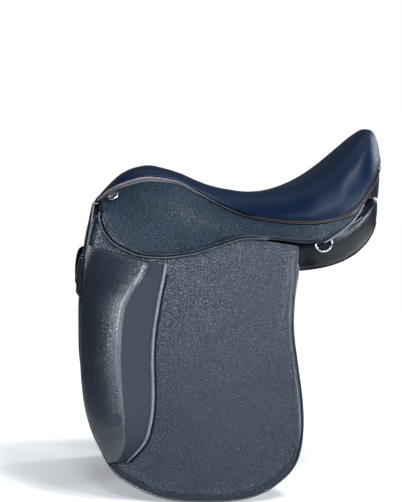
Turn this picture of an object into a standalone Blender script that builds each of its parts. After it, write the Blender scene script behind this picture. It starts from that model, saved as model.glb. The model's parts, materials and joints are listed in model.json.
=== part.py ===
"""English riding saddle, modelled piece by piece.

Metres. The front (pommel) is at -X, the near side at -Y, up is +Z. The origin lies on the
middle plane at the ceiling of the channel, under the lowest point of the seat.
"""

import math

import bmesh
import bpy
from mathutils import Matrix, Vector

# Clearances
TOUCH = 0.0003              # gap between faces that rest on each other
SOFT_TOUCH = 0.0006         # gap between curved skins that rest on each other
RUNNING = 0.0004            # radial play of a pin in its hole

# Seat along the middle plane: distance from front to rear, half width, seam and crest heights
SEAT_FRONT = -0.222
SEAT_REAR = 0.2505
HALF_WIDTH = ((-0.222, 0.044), (-0.212, 0.053), (-0.197, 0.058), (-0.170, 0.062), (-0.134, 0.064),
              (-0.090, 0.066), (-0.045, 0.071), (0.000, 0.084), (0.045, 0.108), (0.090, 0.131), (0.130, 0.143),
              (0.165, 0.141), (0.197, 0.127), (0.221, 0.104), (0.238, 0.074), (0.247, 0.046), (0.2505, 0.032))
SEAM_HEIGHT = ((-0.222, 0.046), (-0.197, 0.068), (-0.173, 0.079), (-0.137, 0.087), (-0.092, 0.081),
               (-0.053, 0.061), (-0.012, 0.039), (0.025, 0.0245), (0.055, 0.019), (0.086, 0.0155), (0.115, 0.015),
               (0.150, 0.0192), (0.170, 0.0245), (0.186, 0.0325), (0.200, 0.0435), (0.211, 0.0555), (0.231, 0.082),
               (0.240, 0.096), (0.2505, 0.108))
CREST_HEIGHT = ((-0.222, 0.049), (-0.208, 0.0655), (-0.188, 0.086), (-0.175, 0.096), (-0.153, 0.105),
                (-0.133, 0.108), (-0.107, 0.103), (-0.081, 0.095), (-0.054, 0.083), (-0.027, 0.0735), (0.000, 0.068),
                (0.027, 0.066), (0.054, 0.068), (0.081, 0.074), (0.107, 0.084), (0.134, 0.099), (0.161, 0.119),
                (0.188, 0.142), (0.215, 0.163), (0.228, 0.169), (0.238, 0.167), (0.245, 0.158), (0.249, 0.146),
                (0.2505, 0.132))
CROWN_POWER = 2.3           # squareness of the seat's cross-section
DISH_DEPTH = 0.004          # hollow along the middle of the seat
DISH_SPAN = (0.000, 0.060, 0.180, 0.235)    # where the hollow begins, is full, still is full, and ends
DISH_REACH = 0.62           # share of the half width that the hollow takes
COVER_THICKNESS = 0.002
FOAM_DEPTH = 0.022          # foam between the cover and the tree, at the middle
SEAT_ROWS = 27
SEAT_COLUMNS = 14
CANTLE_WALL = (1.0, 0.75, 0.45, 0.15, 0.02)     # sizes of the arches that close the seat's back
CANTLE_LEAN = 0.003         # seam's place in front of the seat's rearmost point

# Lines on which flap and skirt bend: one straight axis on each side, on the skirt's outer face
HINGE_FRONT = Vector((-0.213, 0.102, 0.033))
HINGE_REAR = Vector((0.095, 0.145, -0.015))
FLAP_SPLAY = math.radians(14.6)     # lean of the flap away from the upright

# Layers on each side, from outside to inside
SKIRT_THICKNESS = 0.004
LAYER_GAP = 0.0005
FLAP_THICKNESS = 0.0045
GIRTH_SPACE = 0.0075        # room for the girth straps between flap and sweat flap
SWEAT_THICKNESS = 0.003
FLAP_FACE = -SKIRT_THICKNESS - LAYER_GAP
FLAP_BACK = FLAP_FACE - FLAP_THICKNESS
SWEAT_FACE = FLAP_BACK - GIRTH_SPACE
SWEAT_BACK = SWEAT_FACE - SWEAT_THICKNESS
EDGE_GAP = 0.0003           # play between the fixed skirt's edge and the lobe's edge at the bend

# Tree
TREE_THICKNESS = 0.007
TREE_INSET = 0.011          # tree's edge inside the seat's seam, square to the seam
TREE_DROP = 0.004           # tree's edge below the seat's seam
TREE_DEPTH_TOP = 0.0115     # tree's outer face below the skirt's outer face, at the seam
TREE_FACE = SWEAT_BACK - 0.0037
TREE_STATIONS = (-0.214, -0.205, -0.190, -0.175, -0.160, -0.148, -0.125, -0.100, -0.075, -0.050, -0.030, -0.015,
                 0.000, 0.015, 0.030, 0.045, 0.060, 0.075, 0.090, 0.120, 0.150, 0.178, 0.198, 0.209, 0.217, 0.224)
TREE_BED_SHARES = (0.0, 0.22, 0.40, 0.62, 0.84, 1.0)
TREE_SIDE_STEPS = (0.12, 0.34, 0.56, 0.78, 1.0)
TREE_SIDE_END = 0.185               # behind this the tree has only a short lip
TREE_LIP = 0.003
TREE_WINDOW = (-0.120, 0.180)       # open middle of the tree, along the saddle
TREE_WINDOW_STEPS = 2               # how many of the bed shares the open middle takes on each side
FLANGE_REACH = ((-0.214, 1.15), (-0.205, 1.80), (-0.160, 1.80), (-0.148, 1.42), (-0.075, 1.37), (-0.050, 1.24),
                (-0.030, 0.80), (-0.015, 0.60), (0.030, 0.45), (0.120, 0.34), (0.150, 0.08), (0.242, 0.04))
POINT_LENGTH = 0.100        # how far a reach of 2 goes down below the bend line
PLATE_THICKNESS = 0.003
GULLET_PLATE_SPAN = (-0.190, -0.160)
SPRING_SPAN = (-0.148, 0.199)
SPRING_SHARES = (0.30, 0.70)        # edges of a spring steel between two of the tree's bed shares
SPRING_THICKNESS = 0.002
SPRING_TOUCH = 0.0010       # gap between the springs and the rail's hollow underside
WEB_THICKNESS = 0.0015
LONG_WEB_SPAN = (-0.175, 0.218)
CROSS_WEB_SPAN = (0.060, 0.090)

# Girth straps
BILLET_WIDTH = 0.025
BILLET_THICKNESS = 0.0035
BILLET_LENGTH = 0.300
BILLET_PLACES = (0.190, 0.252)      # along the bend line, from its front end
BILLET_PIVOT_DROP = 0.012
BILLET_HOLES = 9
BILLET_HOLE_PITCH = 0.022
BILLET_HOLE_RADIUS = 0.0024
BILLET_FIRST_HOLE = 0.090
BILLET_OUTER = FLAP_BACK - 0.001
BILLET_BACK = BILLET_OUTER - BILLET_THICKNESS
GIRTH_WEB_THICKNESS = 0.002

# Stirrup bar, in the bend line's own directions (along, down, out)
BAR_FROM = 0.058
BAR_ROOT = 0.016
BAR_LEAF_END = 0.148
BAR_PLATE_END = 0.156
BAR_TOP = 0.009
BAR_HEIGHT = 0.017
BAR_LEAF_THICKNESS = 0.0045
BAR_OUTER = FLAP_FACE - 0.0005
BAR_WINDOW_MARGIN = 0.008
BAR_WINDOW_DROP = 0.031
CATCH_LENGTH = 0.020
CATCH_WIDTH = 0.011
CATCH_THICKNESS = 0.003
CATCH_PIN_RADIUS = 0.002
RIVET_RADIUS = 0.0025
RIVET_HEAD_RADIUS = 0.0045
RIVET_HEAD_HEIGHT = 0.0012
RIVET_PLACES = (0.090, 0.128)

# Dees
FRONT_DEE_WIDTH = 0.020
FRONT_DEE_WIRE = 0.0018
FRONT_DEE_AT = (-0.194, 0.32)       # along the saddle, and share of the way down the skirt
REAR_DEE_WIDTH = 0.030
REAR_DEE_WIRE = 0.0016
REAR_DEE_AT = (0.1365, 0.84)
DEE_LOOP_WALL = 0.0016

# Outlines in the bend line's plane: distance along it from its front end, distance down
LOBE_EDGE = ((-0.004, 0.000), (-0.003, 0.010), (0.001, 0.020), (0.008, 0.032), (0.025, 0.047), (0.047, 0.056),
             (0.067, 0.061), (0.088, 0.061), (0.112, 0.058), (0.135, 0.052), (0.158, 0.044), (0.180, 0.033),
             (0.202, 0.022), (0.225, 0.010), (0.248, 0.005), (0.268, 0.0025))
FLAP_FRONT = ((-0.010, 0.004), (-0.0135, 0.020), (-0.0145, 0.055), (-0.012, 0.085), (-0.008, 0.120),
              (-0.004, 0.160), (0.003, 0.205), (0.014, 0.255), (0.025, 0.291), (0.036, 0.318), (0.050, 0.346),
              (0.068, 0.378))
FLAP_BOTTOM = ((0.091, 0.403), (0.120, 0.417), (0.161, 0.428), (0.205, 0.428), (0.258, 0.420), (0.298, 0.408),
               (0.321, 0.396), (0.338, 0.382), (0.356, 0.361), (0.366, 0.339), (0.369, 0.310), (0.366, 0.275))
FLAP_REAR = ((0.358, 0.237), (0.345, 0.192), (0.332, 0.146), (0.326, 0.109), (0.323, 0.070), (0.320, 0.035),
             (0.318, 0.004))
SWEAT_REAR_EXTRA = 0.003    # how far the sweat flap shows behind the flap's rear edge
SWEAT_SHORTER = 0.030       # how far its lower edge ends above the flap's
BLOCK_FRONT = ((-0.012, 0.056), (-0.012, 0.085), (-0.009, 0.114), (-0.008, 0.146), (-0.004, 0.178), (0.003, 0.217),
               (0.011, 0.257), (0.021, 0.293), (0.031, 0.320), (0.045, 0.347), (0.062, 0.371), (0.078, 0.390))
BLOCK_REAR = ((0.113, 0.068), (0.113, 0.092), (0.112, 0.115), (0.112, 0.140), (0.112, 0.165), (0.114, 0.195),
              (0.118, 0.225), (0.124, 0.255), (0.129, 0.285), (0.131, 0.315), (0.127, 0.350), (0.106, 0.383))
BLOCK_HEIGHT = 0.034        # of the knee block's ridge
BLOCK_RISE = ((0.0, 0.42), (0.12, 0.72), (0.30, 0.94), (0.50, 1.0), (0.75, 0.96), (0.90, 0.74), (1.0, 0.30))
BLOCK_SECTION = ((0.0, 0.30), (0.06, 0.56), (0.16, 0.78), (0.32, 0.94), (0.50, 1.0), (0.62, 0.90), (0.76, 0.58),
                 (0.88, 0.36), (0.96, 0.30), (1.0, 0.18))
POCKET = ((-0.018, 0.066), (-0.0245, 0.074), (-0.0250, 0.097), (-0.0210, 0.122), (-0.0155, 0.136), (0.016, 0.140),
          (0.020, 0.066))
POCKET_THICKNESS = 0.004

# Fixed skirt: its lower edge behind the bend, and how far it stands out there
SKIRT_LOW_EDGE = ((0.056, -0.0095), (0.075, -0.0125), (0.104, -0.016), (0.133, -0.016), (0.149, -0.008),
                  (0.176, 0.010), (0.197, 0.032), (0.206, 0.046))
SKIRT_LOW_WIDTH = ((-0.213, 0.102), (0.056, 0.1395), (0.095, 0.145), (0.120, 0.150), (0.133, 0.151),
                   (0.150, 0.150), (0.176, 0.145), (0.197, 0.133), (0.206, 0.125))
SKIRT_FRONT = -0.2165
SKIRT_REAR = 0.206
SKIRT_BULGE = 0.004
WELT_RADIUS = 0.0016

# Panels: stations along the saddle with the inner top and the outer bottom of the section, half thickness
PANEL_SECTIONS = ((-0.2215, (0.050, 0.020), (0.080, -0.070), 0.0070),
                  (-0.2170, (0.046, 0.026), (0.088, -0.090), 0.0105),
                  (-0.1850, (0.045, 0.028), (0.094, -0.102), 0.0112),
                  (-0.1400, (0.044, 0.028), (0.104, -0.100), 0.0120),
                  (-0.0950, (0.042, 0.024), (0.112, -0.088), 0.0135),
                  (-0.0400, (0.038, 0.013), (0.111, -0.066), 0.0158),
                  (0.0200, (0.036, -0.006), (0.115, -0.052), 0.0215),
                  (0.0700, (0.036, -0.010), (0.118, -0.043), 0.0290),
                  (0.1050, (0.036, -0.012), (0.123, -0.037), 0.0345),
                  (0.1400, (0.036, -0.009), (0.137, -0.029), 0.0365),
                  (0.1700, (0.036, -0.0025), (0.131, -0.0195), 0.0370),
                  (0.1960, (0.035, 0.0155), (0.117, -0.0085), 0.0385),
                  (0.2150, (0.034, 0.030), (0.102, 0.006), 0.0400),
                  (0.2270, (0.036, 0.034), (0.092, 0.019), 0.0350),
                  (0.2345, (0.040, 0.037), (0.082, 0.030), 0.0260),
                  (0.2375, (0.044, 0.040), (0.075, 0.036), 0.0130))
PANEL_POWER = 3.0
LEG_PAD_THICKNESS = 0.009
LEG_PAD = ((0.010, 0.150), (0.012, 0.215), (0.034, 0.285), (0.075, 0.345), (0.140, 0.370), (0.215, 0.368),
           (0.250, 0.330), (0.255, 0.230), (0.245, 0.165), (0.130, 0.142))
CHANNEL_LINING = 0.0015
CHANNEL_SPAN = (-0.150, 0.215)
CHANNEL_ARCH = 0.002
FACING_THICKNESS = 0.002
FRONT_SLOPE = 0.18          # how far the front of the arch runs forward for each metre down
FRONT_SLOPE_END = -0.100    # behind this the panels no longer follow that slope
CANTLE_FACING_START = SKIRT_REAR + 0.001
CANTLE_FACING_LOW = 0.066
CANTLE_FACING_LEAST = 0.008         # least height of the facing, at its ends
CANTLE_FACING_LEAN = 0.0025
CANTLE_SHELF = (0.006, 0.001)       # how far the facing turns in over the panels, and its fall there
CANTLE_SHELF_RUN = 0.030            # distance from the facing's ends within which the shelf widens
FACING_INNER = ((0.000, 0.030), (0.016, 0.027), (0.032, 0.016), (0.044, -0.014), (0.056, -0.046), (0.064, -0.068))
FACING_OUTER = ((0.094, -0.076), (0.097, -0.050), (0.092, -0.022), (0.085, 0.004), (0.077, 0.020), (0.062, 0.033),
                (0.042, 0.0415), (0.020, 0.0445), (0.000, 0.045))

SIDES = (("left", -1), ("right", 1))

COLOURS = {
    "grained_leather": ((0.035, 0.041, 0.056), 0.55, 0.0),
    "smooth_leather": ((0.020, 0.027, 0.043), 0.38, 0.0),
    "piping_leather": ((0.230, 0.200, 0.210), 0.45, 0.0),
    "edge_leather": ((0.016, 0.018, 0.024), 0.50, 0.0),
    "strap_leather": ((0.022, 0.024, 0.030), 0.60, 0.0),
    "foam": ((0.420, 0.400, 0.340), 0.90, 0.0),
    "tree_laminate": ((0.180, 0.120, 0.070), 0.65, 0.0),
    "webbing": ((0.330, 0.300, 0.240), 0.85, 0.0),
    "steel": ((0.360, 0.370, 0.390), 0.40, 1.0),
    "chrome": ((0.620, 0.630, 0.650), 0.12, 1.0),
}


# Shape helpers

def profile(points):
    """Return a smooth function through points of a rising first coordinate."""
    xs = [p[0] for p in points]
    ys = [p[1] for p in points]
    steps = [(ys[i + 1] - ys[i]) / (xs[i + 1] - xs[i]) for i in range(len(xs) - 1)]
    slopes = [steps[0]]
    for before, after in zip(steps, steps[1:]):
        slopes.append(0.0 if before * after <= 0.0 else 2.0 * before * after / (before + after))
    slopes.append(steps[-1])

    def value(x):
        x = min(max(x, xs[0]), xs[-1])
        i = 0
        while i < len(xs) - 2 and x > xs[i + 1]:
            i += 1
        span = xs[i + 1] - xs[i]
        t = (x - xs[i]) / span
        start = ys[i] * (1 + 2 * t) * (1 - t) ** 2 + slopes[i] * span * t * (1 - t) ** 2
        end = ys[i + 1] * t * t * (3 - 2 * t) + slopes[i + 1] * span * t * t * (t - 1)
        return start + end
    return value


def straight_profile(points):
    """Return a function that joins the points by straight lines."""
    def value(x):
        for (x0, y0), (x1, y1) in zip(points, points[1:]):
            if x <= x1:
                return y0 + (y1 - y0) * max(0.0, (x - x0) / (x1 - x0))
        return points[-1][1]
    return value


def smooth_path(points, steps):
    """Return a Catmull-Rom path through the points, with the given steps between two points."""
    ends = [points[0]] + list(points) + [points[-1]]
    path = []
    for p0, p1, p2, p3 in zip(ends, ends[1:], ends[2:], ends[3:]):
        for k in range(steps):
            t = k / steps
            path.append(tuple(
                0.5 * (2 * b + (c - a) * t + (2 * a - 5 * b + 4 * c - d) * t ** 2 + (3 * b - a - 3 * c + d) * t ** 3)
                for a, b, c, d in zip(p0, p1, p2, p3)))
    path.append(tuple(points[-1]))
    return path


def lerp(a, b, t):
    return a + (b - a) * t


half_width = profile(HALF_WIDTH)
seam_height = profile(SEAM_HEIGHT)
crest_height = profile(CREST_HEIGHT)
flange_reach = straight_profile(FLANGE_REACH)
skirt_low_edge = profile(SKIRT_LOW_EDGE)
skirt_low_width = profile(SKIRT_LOW_WIDTH)


class Bend:
    """Directions of one side's bend line: along it, down the flap and out of the flap."""

    def __init__(self, side):
        self.side = side
        self.front = Vector((HINGE_FRONT.x, side * HINGE_FRONT.y, HINGE_FRONT.z))
        self.rear = Vector((HINGE_REAR.x, side * HINGE_REAR.y, HINGE_REAR.z))
        self.along = (self.rear - self.front).normalized()
        fall = Vector((0.0, side * math.sin(FLAP_SPLAY), -math.cos(FLAP_SPLAY)))
        self.down = (fall - self.along * fall.dot(self.along)).normalized()
        self.out = side * self.along.cross(self.down)

    def point(self, along, down, out):
        return self.front + self.along * along + self.down * down + self.out * out

    def matrix(self, along=0.0, down=0.0, out=0.0):
        """Frame with X along the bend, Z up the flap and Y towards the far side."""
        up = -self.down
        across = up.cross(self.along)
        frame = Matrix((self.along, across, up)).transposed().to_4x4()
        frame.translation = self.point(along, down, out)
        return frame

    def at(self, x, down=0.0, out=0.0):
        """Point of the plane whose foot on the bend line has the given X."""
        return self.point((x - self.front.x) / self.along.x, down, out)

    def local(self, along, down, out):
        """Plane coordinates written in the frame that matrix() gives."""
        return Vector((along, self.side * out, -down))

    def gravity_turn(self):
        """Turn in the plane that brings 'down' to where a free strap hangs."""
        pull = Vector((0.0, 0.0, -1.0))
        return math.atan2(pull.dot(self.along), pull.dot(self.down))


BENDS = {side: Bend(side) for _, side in SIDES}


# Object helpers

def clear_scene():
    for thing in list(bpy.data.objects):
        bpy.data.objects.remove(thing, do_unlink=True)


def material(name):
    found = bpy.data.materials.get(name)
    if found:
        return found
    colour, roughness, metallic = COLOURS[name]
    made = bpy.data.materials.new(name)
    made.use_nodes = True
    shader = made.node_tree.nodes["Principled BSDF"]
    shader.inputs["Base Color"].default_value = (*colour, 1.0)
    shader.inputs["Roughness"].default_value = roughness
    shader.inputs["Metallic"].default_value = metallic
    return made


def add_object(name, data, finish, matrix=None):
    thing = bpy.data.objects.new(name, data)
    data.materials.append(material(finish))
    bpy.context.scene.collection.objects.link(thing)
    if matrix is not None:
        thing.matrix_world = matrix
    return thing


def finish_mesh(name, bm, finish, matrix=None, smooth=True):
    """Turn a closed bmesh into a named object, with its normals outwards."""
    bmesh.ops.recalc_face_normals(bm, faces=bm.faces)
    mesh = bpy.data.meshes.new(name)
    bm.to_mesh(mesh)
    bm.free()
    if smooth:
        mesh.shade_smooth()
        mesh.set_sharp_from_angle(angle=math.radians(40))
    return add_object(name, mesh, finish, matrix)


def grid_normals(rows):
    """Return unit normals of a grid of points, by differences along and across."""
    normals = []
    last_row = len(rows) - 1
    last = len(rows[0]) - 1
    for i, row in enumerate(rows):
        line = []
        for j in range(len(row)):
            along = rows[min(i + 1, last_row)][j] - rows[max(i - 1, 0)][j]
            across = row[min(j + 1, last)] - row[max(j - 1, 0)]
            line.append(along.cross(across).normalized())
        normals.append(line)
    return normals


def offset_rows(rows, distance):
    """Return the grid moved along its normals, outwards for a positive distance."""
    normals = grid_normals(rows)
    return [[p + n * distance for p, n in zip(row, line)] for row, line in zip(rows, normals)]


def skins(name, outer, inner, finish, skip=None, matrix=None):
    """Close two grids of the same size into one body; skip(i, j) leaves a hole through both."""
    bm = bmesh.new()
    top = [[bm.verts.new(p) for p in row] for row in outer]
    low = [[bm.verts.new(p) for p in row] for row in inner]
    for i in range(len(outer) - 1):
        for j in range(len(outer[0]) - 1):
            if skip and skip(i, j):
                continue
            bm.faces.new((top[i][j], top[i + 1][j], top[i + 1][j + 1], top[i][j + 1]))
            bm.faces.new((low[i][j], low[i][j + 1], low[i + 1][j + 1], low[i + 1][j]))
    partner = {a: b for rows in zip(top, low) for a, b in zip(*rows)}
    rims = [edge for edge in bm.edges if edge.is_boundary and edge.verts[0] in partner]
    for edge in rims:
        a, b = edge.verts
        bm.faces.new((a, b, partner[b], partner[a]))
    bmesh.ops.delete(bm, geom=[v for v in bm.verts if not v.link_faces], context="VERTS")
    return finish_mesh(name, bm, finish, matrix)


def sheet(name, rows, thickness, finish, skip=None):
    """A skin of even thickness whose outer face is the given grid."""
    return skins(name, rows, offset_rows(rows, -thickness), finish, skip)


def slab(name, bend, outline, outer, inner, finish, matrix=None, smooth=True):
    """A flat piece in the bend's plane: outline of (along, down), faces at two distances out."""
    bm = bmesh.new()
    face = bm.faces.new([bm.verts.new(bend.local(a, d, outer)) for a, d in outline])
    made = bmesh.ops.extrude_face_region(bm, geom=[face])
    step = bend.local(0.0, 0.0, inner) - bend.local(0.0, 0.0, outer)
    moved = [item for item in made["geom"] if isinstance(item, bmesh.types.BMVert)]
    bmesh.ops.translate(bm, verts=moved, vec=step)
    return finish_mesh(name, bm, finish, matrix if matrix is not None else bend.matrix(), smooth)


def loft(name, rings, finish, matrix=None):
    """A closed body through rings of the same number of points, with flat ends."""
    bm = bmesh.new()
    loops = [[bm.verts.new(p) for p in ring] for ring in rings]
    count = len(rings[0])
    for before, after in zip(loops, loops[1:]):
        for k in range(count):
            bm.faces.new((before[k], before[(k + 1) % count], after[(k + 1) % count], after[k]))
    bm.faces.new(loops[0])
    bm.faces.new(loops[-1])
    return finish_mesh(name, bm, finish, matrix)


def rod(name, path, radius, finish, cyclic=False, resolution=1, matrix=None):
    """A round rod or ring along a path, from a bevelled curve."""
    curve = bpy.data.curves.new(name, "CURVE")
    curve.dimensions = "3D"
    curve.bevel_depth = radius
    curve.bevel_resolution = resolution
    curve.use_fill_caps = True
    line = curve.splines.new("POLY")
    line.points.add(len(path) - 1)
    for spot, place in zip(line.points, path):
        spot.co = (*place, 1.0)
    line.use_cyclic_u = cyclic
    return add_object(name, curve, finish, matrix)


def pin(name, radius, start, end, finish, bend, matrix=None, sides=16, heads=None):
    """A turned pin along the bend's outward direction; heads gives (radius, height) for both ends."""
    rings = [(radius, start), (radius, end)]
    if heads:
        wide, high = heads
        rings = [(wide * 0.6, start + high), (wide, start), (radius, start), (radius, end), (wide, end),
                 (wide * 0.6, end - high)]
    circles = []
    for size, out in rings:
        turn = [2 * math.pi * k / sides for k in range(sides)]
        circles.append([bend.local(size * math.cos(t), size * math.sin(t), out) for t in turn])
    return loft(name, circles, finish, matrix)


def cut(thing, cutter):
    """Take the cutter's shape out of the object."""
    cutter.hide_render = True
    cutter.display_type = "WIRE"
    tool = thing.modifiers.new("cut", "BOOLEAN")
    tool.operation = "DIFFERENCE"
    tool.object = cutter


def ease(t, strength):
    """Spread stations so that they lie closer at both ends."""
    return (1 - strength) * t + strength * (1 - math.cos(math.pi * t)) / 2


# Seat

def crown(t):
    return max(0.0, 1.0 - abs(t) ** CROWN_POWER) ** (1.0 / CROWN_POWER)


def seat_dish(x, t):
    """Depth of the seat's hollow."""
    if abs(t) >= DISH_REACH:
        return 0.0
    begin, full, fading, end = DISH_SPAN
    along = min((x - begin) / (full - begin), 1.0, (end - x) / (end - fading))
    return DISH_DEPTH * max(0.0, along) * (1 - (t / DISH_REACH) ** 2) ** 2


def seat_point(x, t):
    """Point of the seat's outer skin; t runs from -1 at the near seam to 1 at the far seam."""
    seam = seam_height(x)
    rise = crest_height(x) - seam
    return Vector((x, half_width(x) * t, seam + rise * crown(t) - seat_dish(x, t)))


def cantle_wall_point(t, size):
    """Point of the seat's back: its last arch, shrunk towards the middle of the seam."""
    edge = seat_point(SEAT_REAR, t)
    seam = seam_height(SEAT_REAR)
    share = size * (edge.z - seam) / (crest_height(SEAT_REAR) - seam)
    return Vector((SEAT_REAR - CANTLE_LEAN * (1 - share), edge.y * size, lerp(seam, edge.z, size)))


def seam_spot(x, lift):
    """Point of the seat's seam on the far side."""
    return Vector((min(x, SEAT_REAR - CANTLE_LEAN), half_width(x), seam_height(x) + lift))


SEAT_STATIONS = [lerp(SEAT_FRONT, SEAT_REAR, ease(i / SEAT_ROWS, 0.55)) for i in range(SEAT_ROWS + 1)]


def stations_between(stations, start, end):
    """The given stations that lie inside a span, with the span's own ends."""
    return [start] + [x for x in stations if start + 0.001 < x < end - 0.001] + [end]


def seat_rows():
    shares = [math.sin(math.pi / 2 * (2 * j / SEAT_COLUMNS - 1)) for j in range(SEAT_COLUMNS + 1)]
    rows = [[seat_point(x, share) for share in shares] for x in SEAT_STATIONS[:-1]]
    for size in CANTLE_WALL:
        rows.append([cantle_wall_point(share, size) for share in shares])
    return rows


def outline_normal(x):
    """Direction in plan, on the far side, in which the seat's outline faces."""
    step = 0.001
    slope = (half_width(x + step) - half_width(x - step)) / (2 * step)
    return Vector((-slope, 1.0, 0.0)).normalized()


def tree_half(x):
    """Half width of the tree's bed."""
    return half_width(x) - TREE_INSET / outline_normal(x).y


def bed_height(x, y):
    """Height of the tree's upper face."""
    seam = seam_height(x)
    arch = max(0.0, crest_height(x) - seam - FOAM_DEPTH)
    q = min(1.0, abs(y) / tree_half(x))
    return seam - TREE_DROP + arch * math.sqrt(1.0 - q * q)


def bed_rows(span, last_share, lift):
    """Grid parallel to the tree's upper face, over a span of its stations and out to one of its shares."""
    far = TREE_BED_SHARES[:last_share + 1]
    shares = [-s for s in reversed(far[1:])] + list(far)
    rows = []
    for x in TREE_STATIONS:
        if span[0] <= x <= span[1]:
            half = tree_half(x)
            rows.append([Vector((x, half * s, bed_height(x, half * s) + lift)) for s in shares])
    return rows


def make_seat():
    rows = seat_rows()
    sheet("seat_cover", rows, COVER_THICKNESS, "smooth_leather")
    top = offset_rows(rows, -COVER_THICKNESS - SOFT_TOUCH)[3:len(SEAT_STATIONS) - 1]
    web_stack = 2 * (WEB_THICKNESS + SOFT_TOUCH) + 3 * SOFT_TOUCH
    least = 0.0012
    tree_end = TREE_STATIONS[-1]
    low = []
    for row in top:
        beds = [max(bed_height(min(p.x, tree_end), p.y) + web_stack, seam_height(p.x)) for p in row]
        low.append([Vector((p.x, p.y, min(bed, p.z - least))) for p, bed in zip(row, beds)])
    skins("seat_foam", top, low, "foam")


def make_webs():
    lift = SOFT_TOUCH + WEB_THICKNESS
    sheet("seat_web_long", bed_rows(LONG_WEB_SPAN, 1, lift), WEB_THICKNESS, "webbing")
    sheet("seat_web_cross", bed_rows(CROSS_WEB_SPAN, 4, 2 * lift), WEB_THICKNESS, "webbing")


# Skirt's outer face, and what lies below it

BEND_END = SKIRT_LOW_EDGE[0][0]


def below_welt(x):
    """Height at which skirt and facing end, below the welt on the seam."""
    step = 0.001
    slope = (seam_height(x + step) - seam_height(x - step)) / (2 * step)
    return seam_height(x) - (WELT_RADIUS + SOFT_TOUCH) * math.hypot(1.0, slope)


def skirt_foot(side, x):
    """Point on the skirt's lower edge: on the bend line in front, free behind."""
    if x <= BEND_END:
        return BENDS[side].at(x)
    return Vector((x, side * skirt_low_width(x), skirt_low_edge(x)))


def skirt_point(side, x, v, depth=0.0):
    """Point below the skirt's outer face; v runs from 0 at the seam to 1 at the lower edge."""
    head = Vector((x, side * (half_width(x) + 2 * WELT_RADIUS), below_welt(x)))
    run = skirt_foot(side, x) - head
    normal = Vector((0.0, -side * run.z, abs(run.y))).normalized()
    bulge = SKIRT_BULGE * math.sin(math.pi * v) * min(1.0, run.length / 0.06)
    follow = v * max(0.0, min(1.0, 1 - (x - BEND_END) / 0.05))
    inwards = -normal.lerp(BENDS[side].out, follow).normalized()
    return head + run * v + normal * bulge + inwards * depth


def tree_side_point(side, x, q, extra=0.0):
    """Point of the tree's outer face beyond the rail: q up to 1 above the bend line, beyond 1 below it."""
    if q <= 1.0:
        return skirt_point(side, x, q, lerp(TREE_DEPTH_TOP, -TREE_FACE, q) + extra)
    return BENDS[side].at(x, (q - 1.0) * POINT_LENGTH, TREE_FACE - extra)


def tree_row(x):
    """Points of the tree's outer face across the saddle at one station, near to far."""
    half = tree_half(x)
    reach = flange_reach(x)
    far = [Vector((x, half * s, bed_height(x, half * s))) for s in TREE_BED_SHARES]
    edge = far[-1]
    for step in TREE_SIDE_STEPS:
        if x < TREE_SIDE_END:
            far.append(tree_side_point(1, x, reach * step + 0.02))
        else:
            far.append(edge + Vector((0.0, 0.0, -TREE_LIP * step)))
    near = [Vector((p.x, -p.y, p.z)) for p in reversed(far[1:])]
    return near + far


def make_tree():
    rows = [tree_row(x) for x in TREE_STATIONS]
    middle = (len(rows[0]) - 1) // 2

    def open_middle(i, j):
        inside = TREE_WINDOW[0] <= TREE_STATIONS[i] and TREE_STATIONS[i + 1] <= TREE_WINDOW[1]
        return inside and middle - TREE_WINDOW_STEPS <= j < middle + TREE_WINDOW_STEPS

    return sheet("tree", rows, TREE_THICKNESS, "tree_laminate", open_middle)


def under_tree(span, gap):
    """Rows just below the tree, over a span of its stations."""
    rows = offset_rows([tree_row(x) for x in TREE_STATIONS], -TREE_THICKNESS - gap)
    return [row for x, row in zip(TREE_STATIONS, rows) if span[0] <= x <= span[1]]


def make_gullet_plate():
    sheet("gullet_plate", under_tree(GULLET_PLATE_SPAN, SOFT_TOUCH), PLATE_THICKNESS, "steel")


def make_spring_steels():
    """Steel strips under the rails, from behind the gullet plate to the cantle."""
    rows = under_tree(SPRING_SPAN, SPRING_TOUCH)
    middle = (len(rows[0]) - 1) // 2
    for name, side in SIDES:
        strip = []
        for row in rows:
            inner = row[middle + side * 3]
            outer = row[middle + side * 4]
            pair = [inner.lerp(outer, share) for share in SPRING_SHARES]
            strip.append(pair if side > 0 else pair[::-1])
        sheet(f"spring_steel_{name}", strip, SPRING_THICKNESS, "steel")


# Skirts, flaps and what hangs below the bend

def make_skirt(name, side):
    """The sewn upper part of the skirt; its front edge below is the bend line."""
    bend = BENDS[side]
    outer = []
    inner = []
    for x in stations_between(SEAT_STATIONS, SKIRT_FRONT, SKIRT_REAR):
        row = [skirt_point(side, x, k / 4) for k in range(5)]
        back = [skirt_point(side, x, k / 4, SKIRT_THICKNESS) for k in range(5)]
        if x <= BEND_END:
            row[-1] = bend.at(x, -EDGE_GAP, 0.0)
            back[-1] = bend.at(x, -EDGE_GAP, -SKIRT_THICKNESS)
        outer.append(row)
        inner.append(back)
    skins(f"skirt_{name}", outer, inner, "grained_leather")
    edge = [p for p in smooth_path(LOBE_EDGE, 2) if p[1] > 2 * EDGE_GAP]
    outline = [(edge[-1][0], EDGE_GAP)] + list(reversed(edge)) + [(edge[0][0], EDGE_GAP)]
    slab(f"skirt_lobe_{name}", bend, outline, 0.0, -SKIRT_THICKNESS, "grained_leather")


def bar_window(bend, name, outer, inner):
    """Cutter for the opening that the stirrup bar reaches through."""
    start = BAR_FROM - BAR_WINDOW_MARGIN
    end = BAR_PLATE_END + BAR_WINDOW_MARGIN
    top = BAR_TOP - 0.005
    outline = ((start, top), (end, top), (end, BAR_WINDOW_DROP), (start, BAR_WINDOW_DROP))
    return slab(name, bend, outline, outer, inner, "edge_leather", smooth=False)


def flap_outline():
    return smooth_path(FLAP_FRONT + FLAP_BOTTOM + FLAP_REAR, 2)


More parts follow.
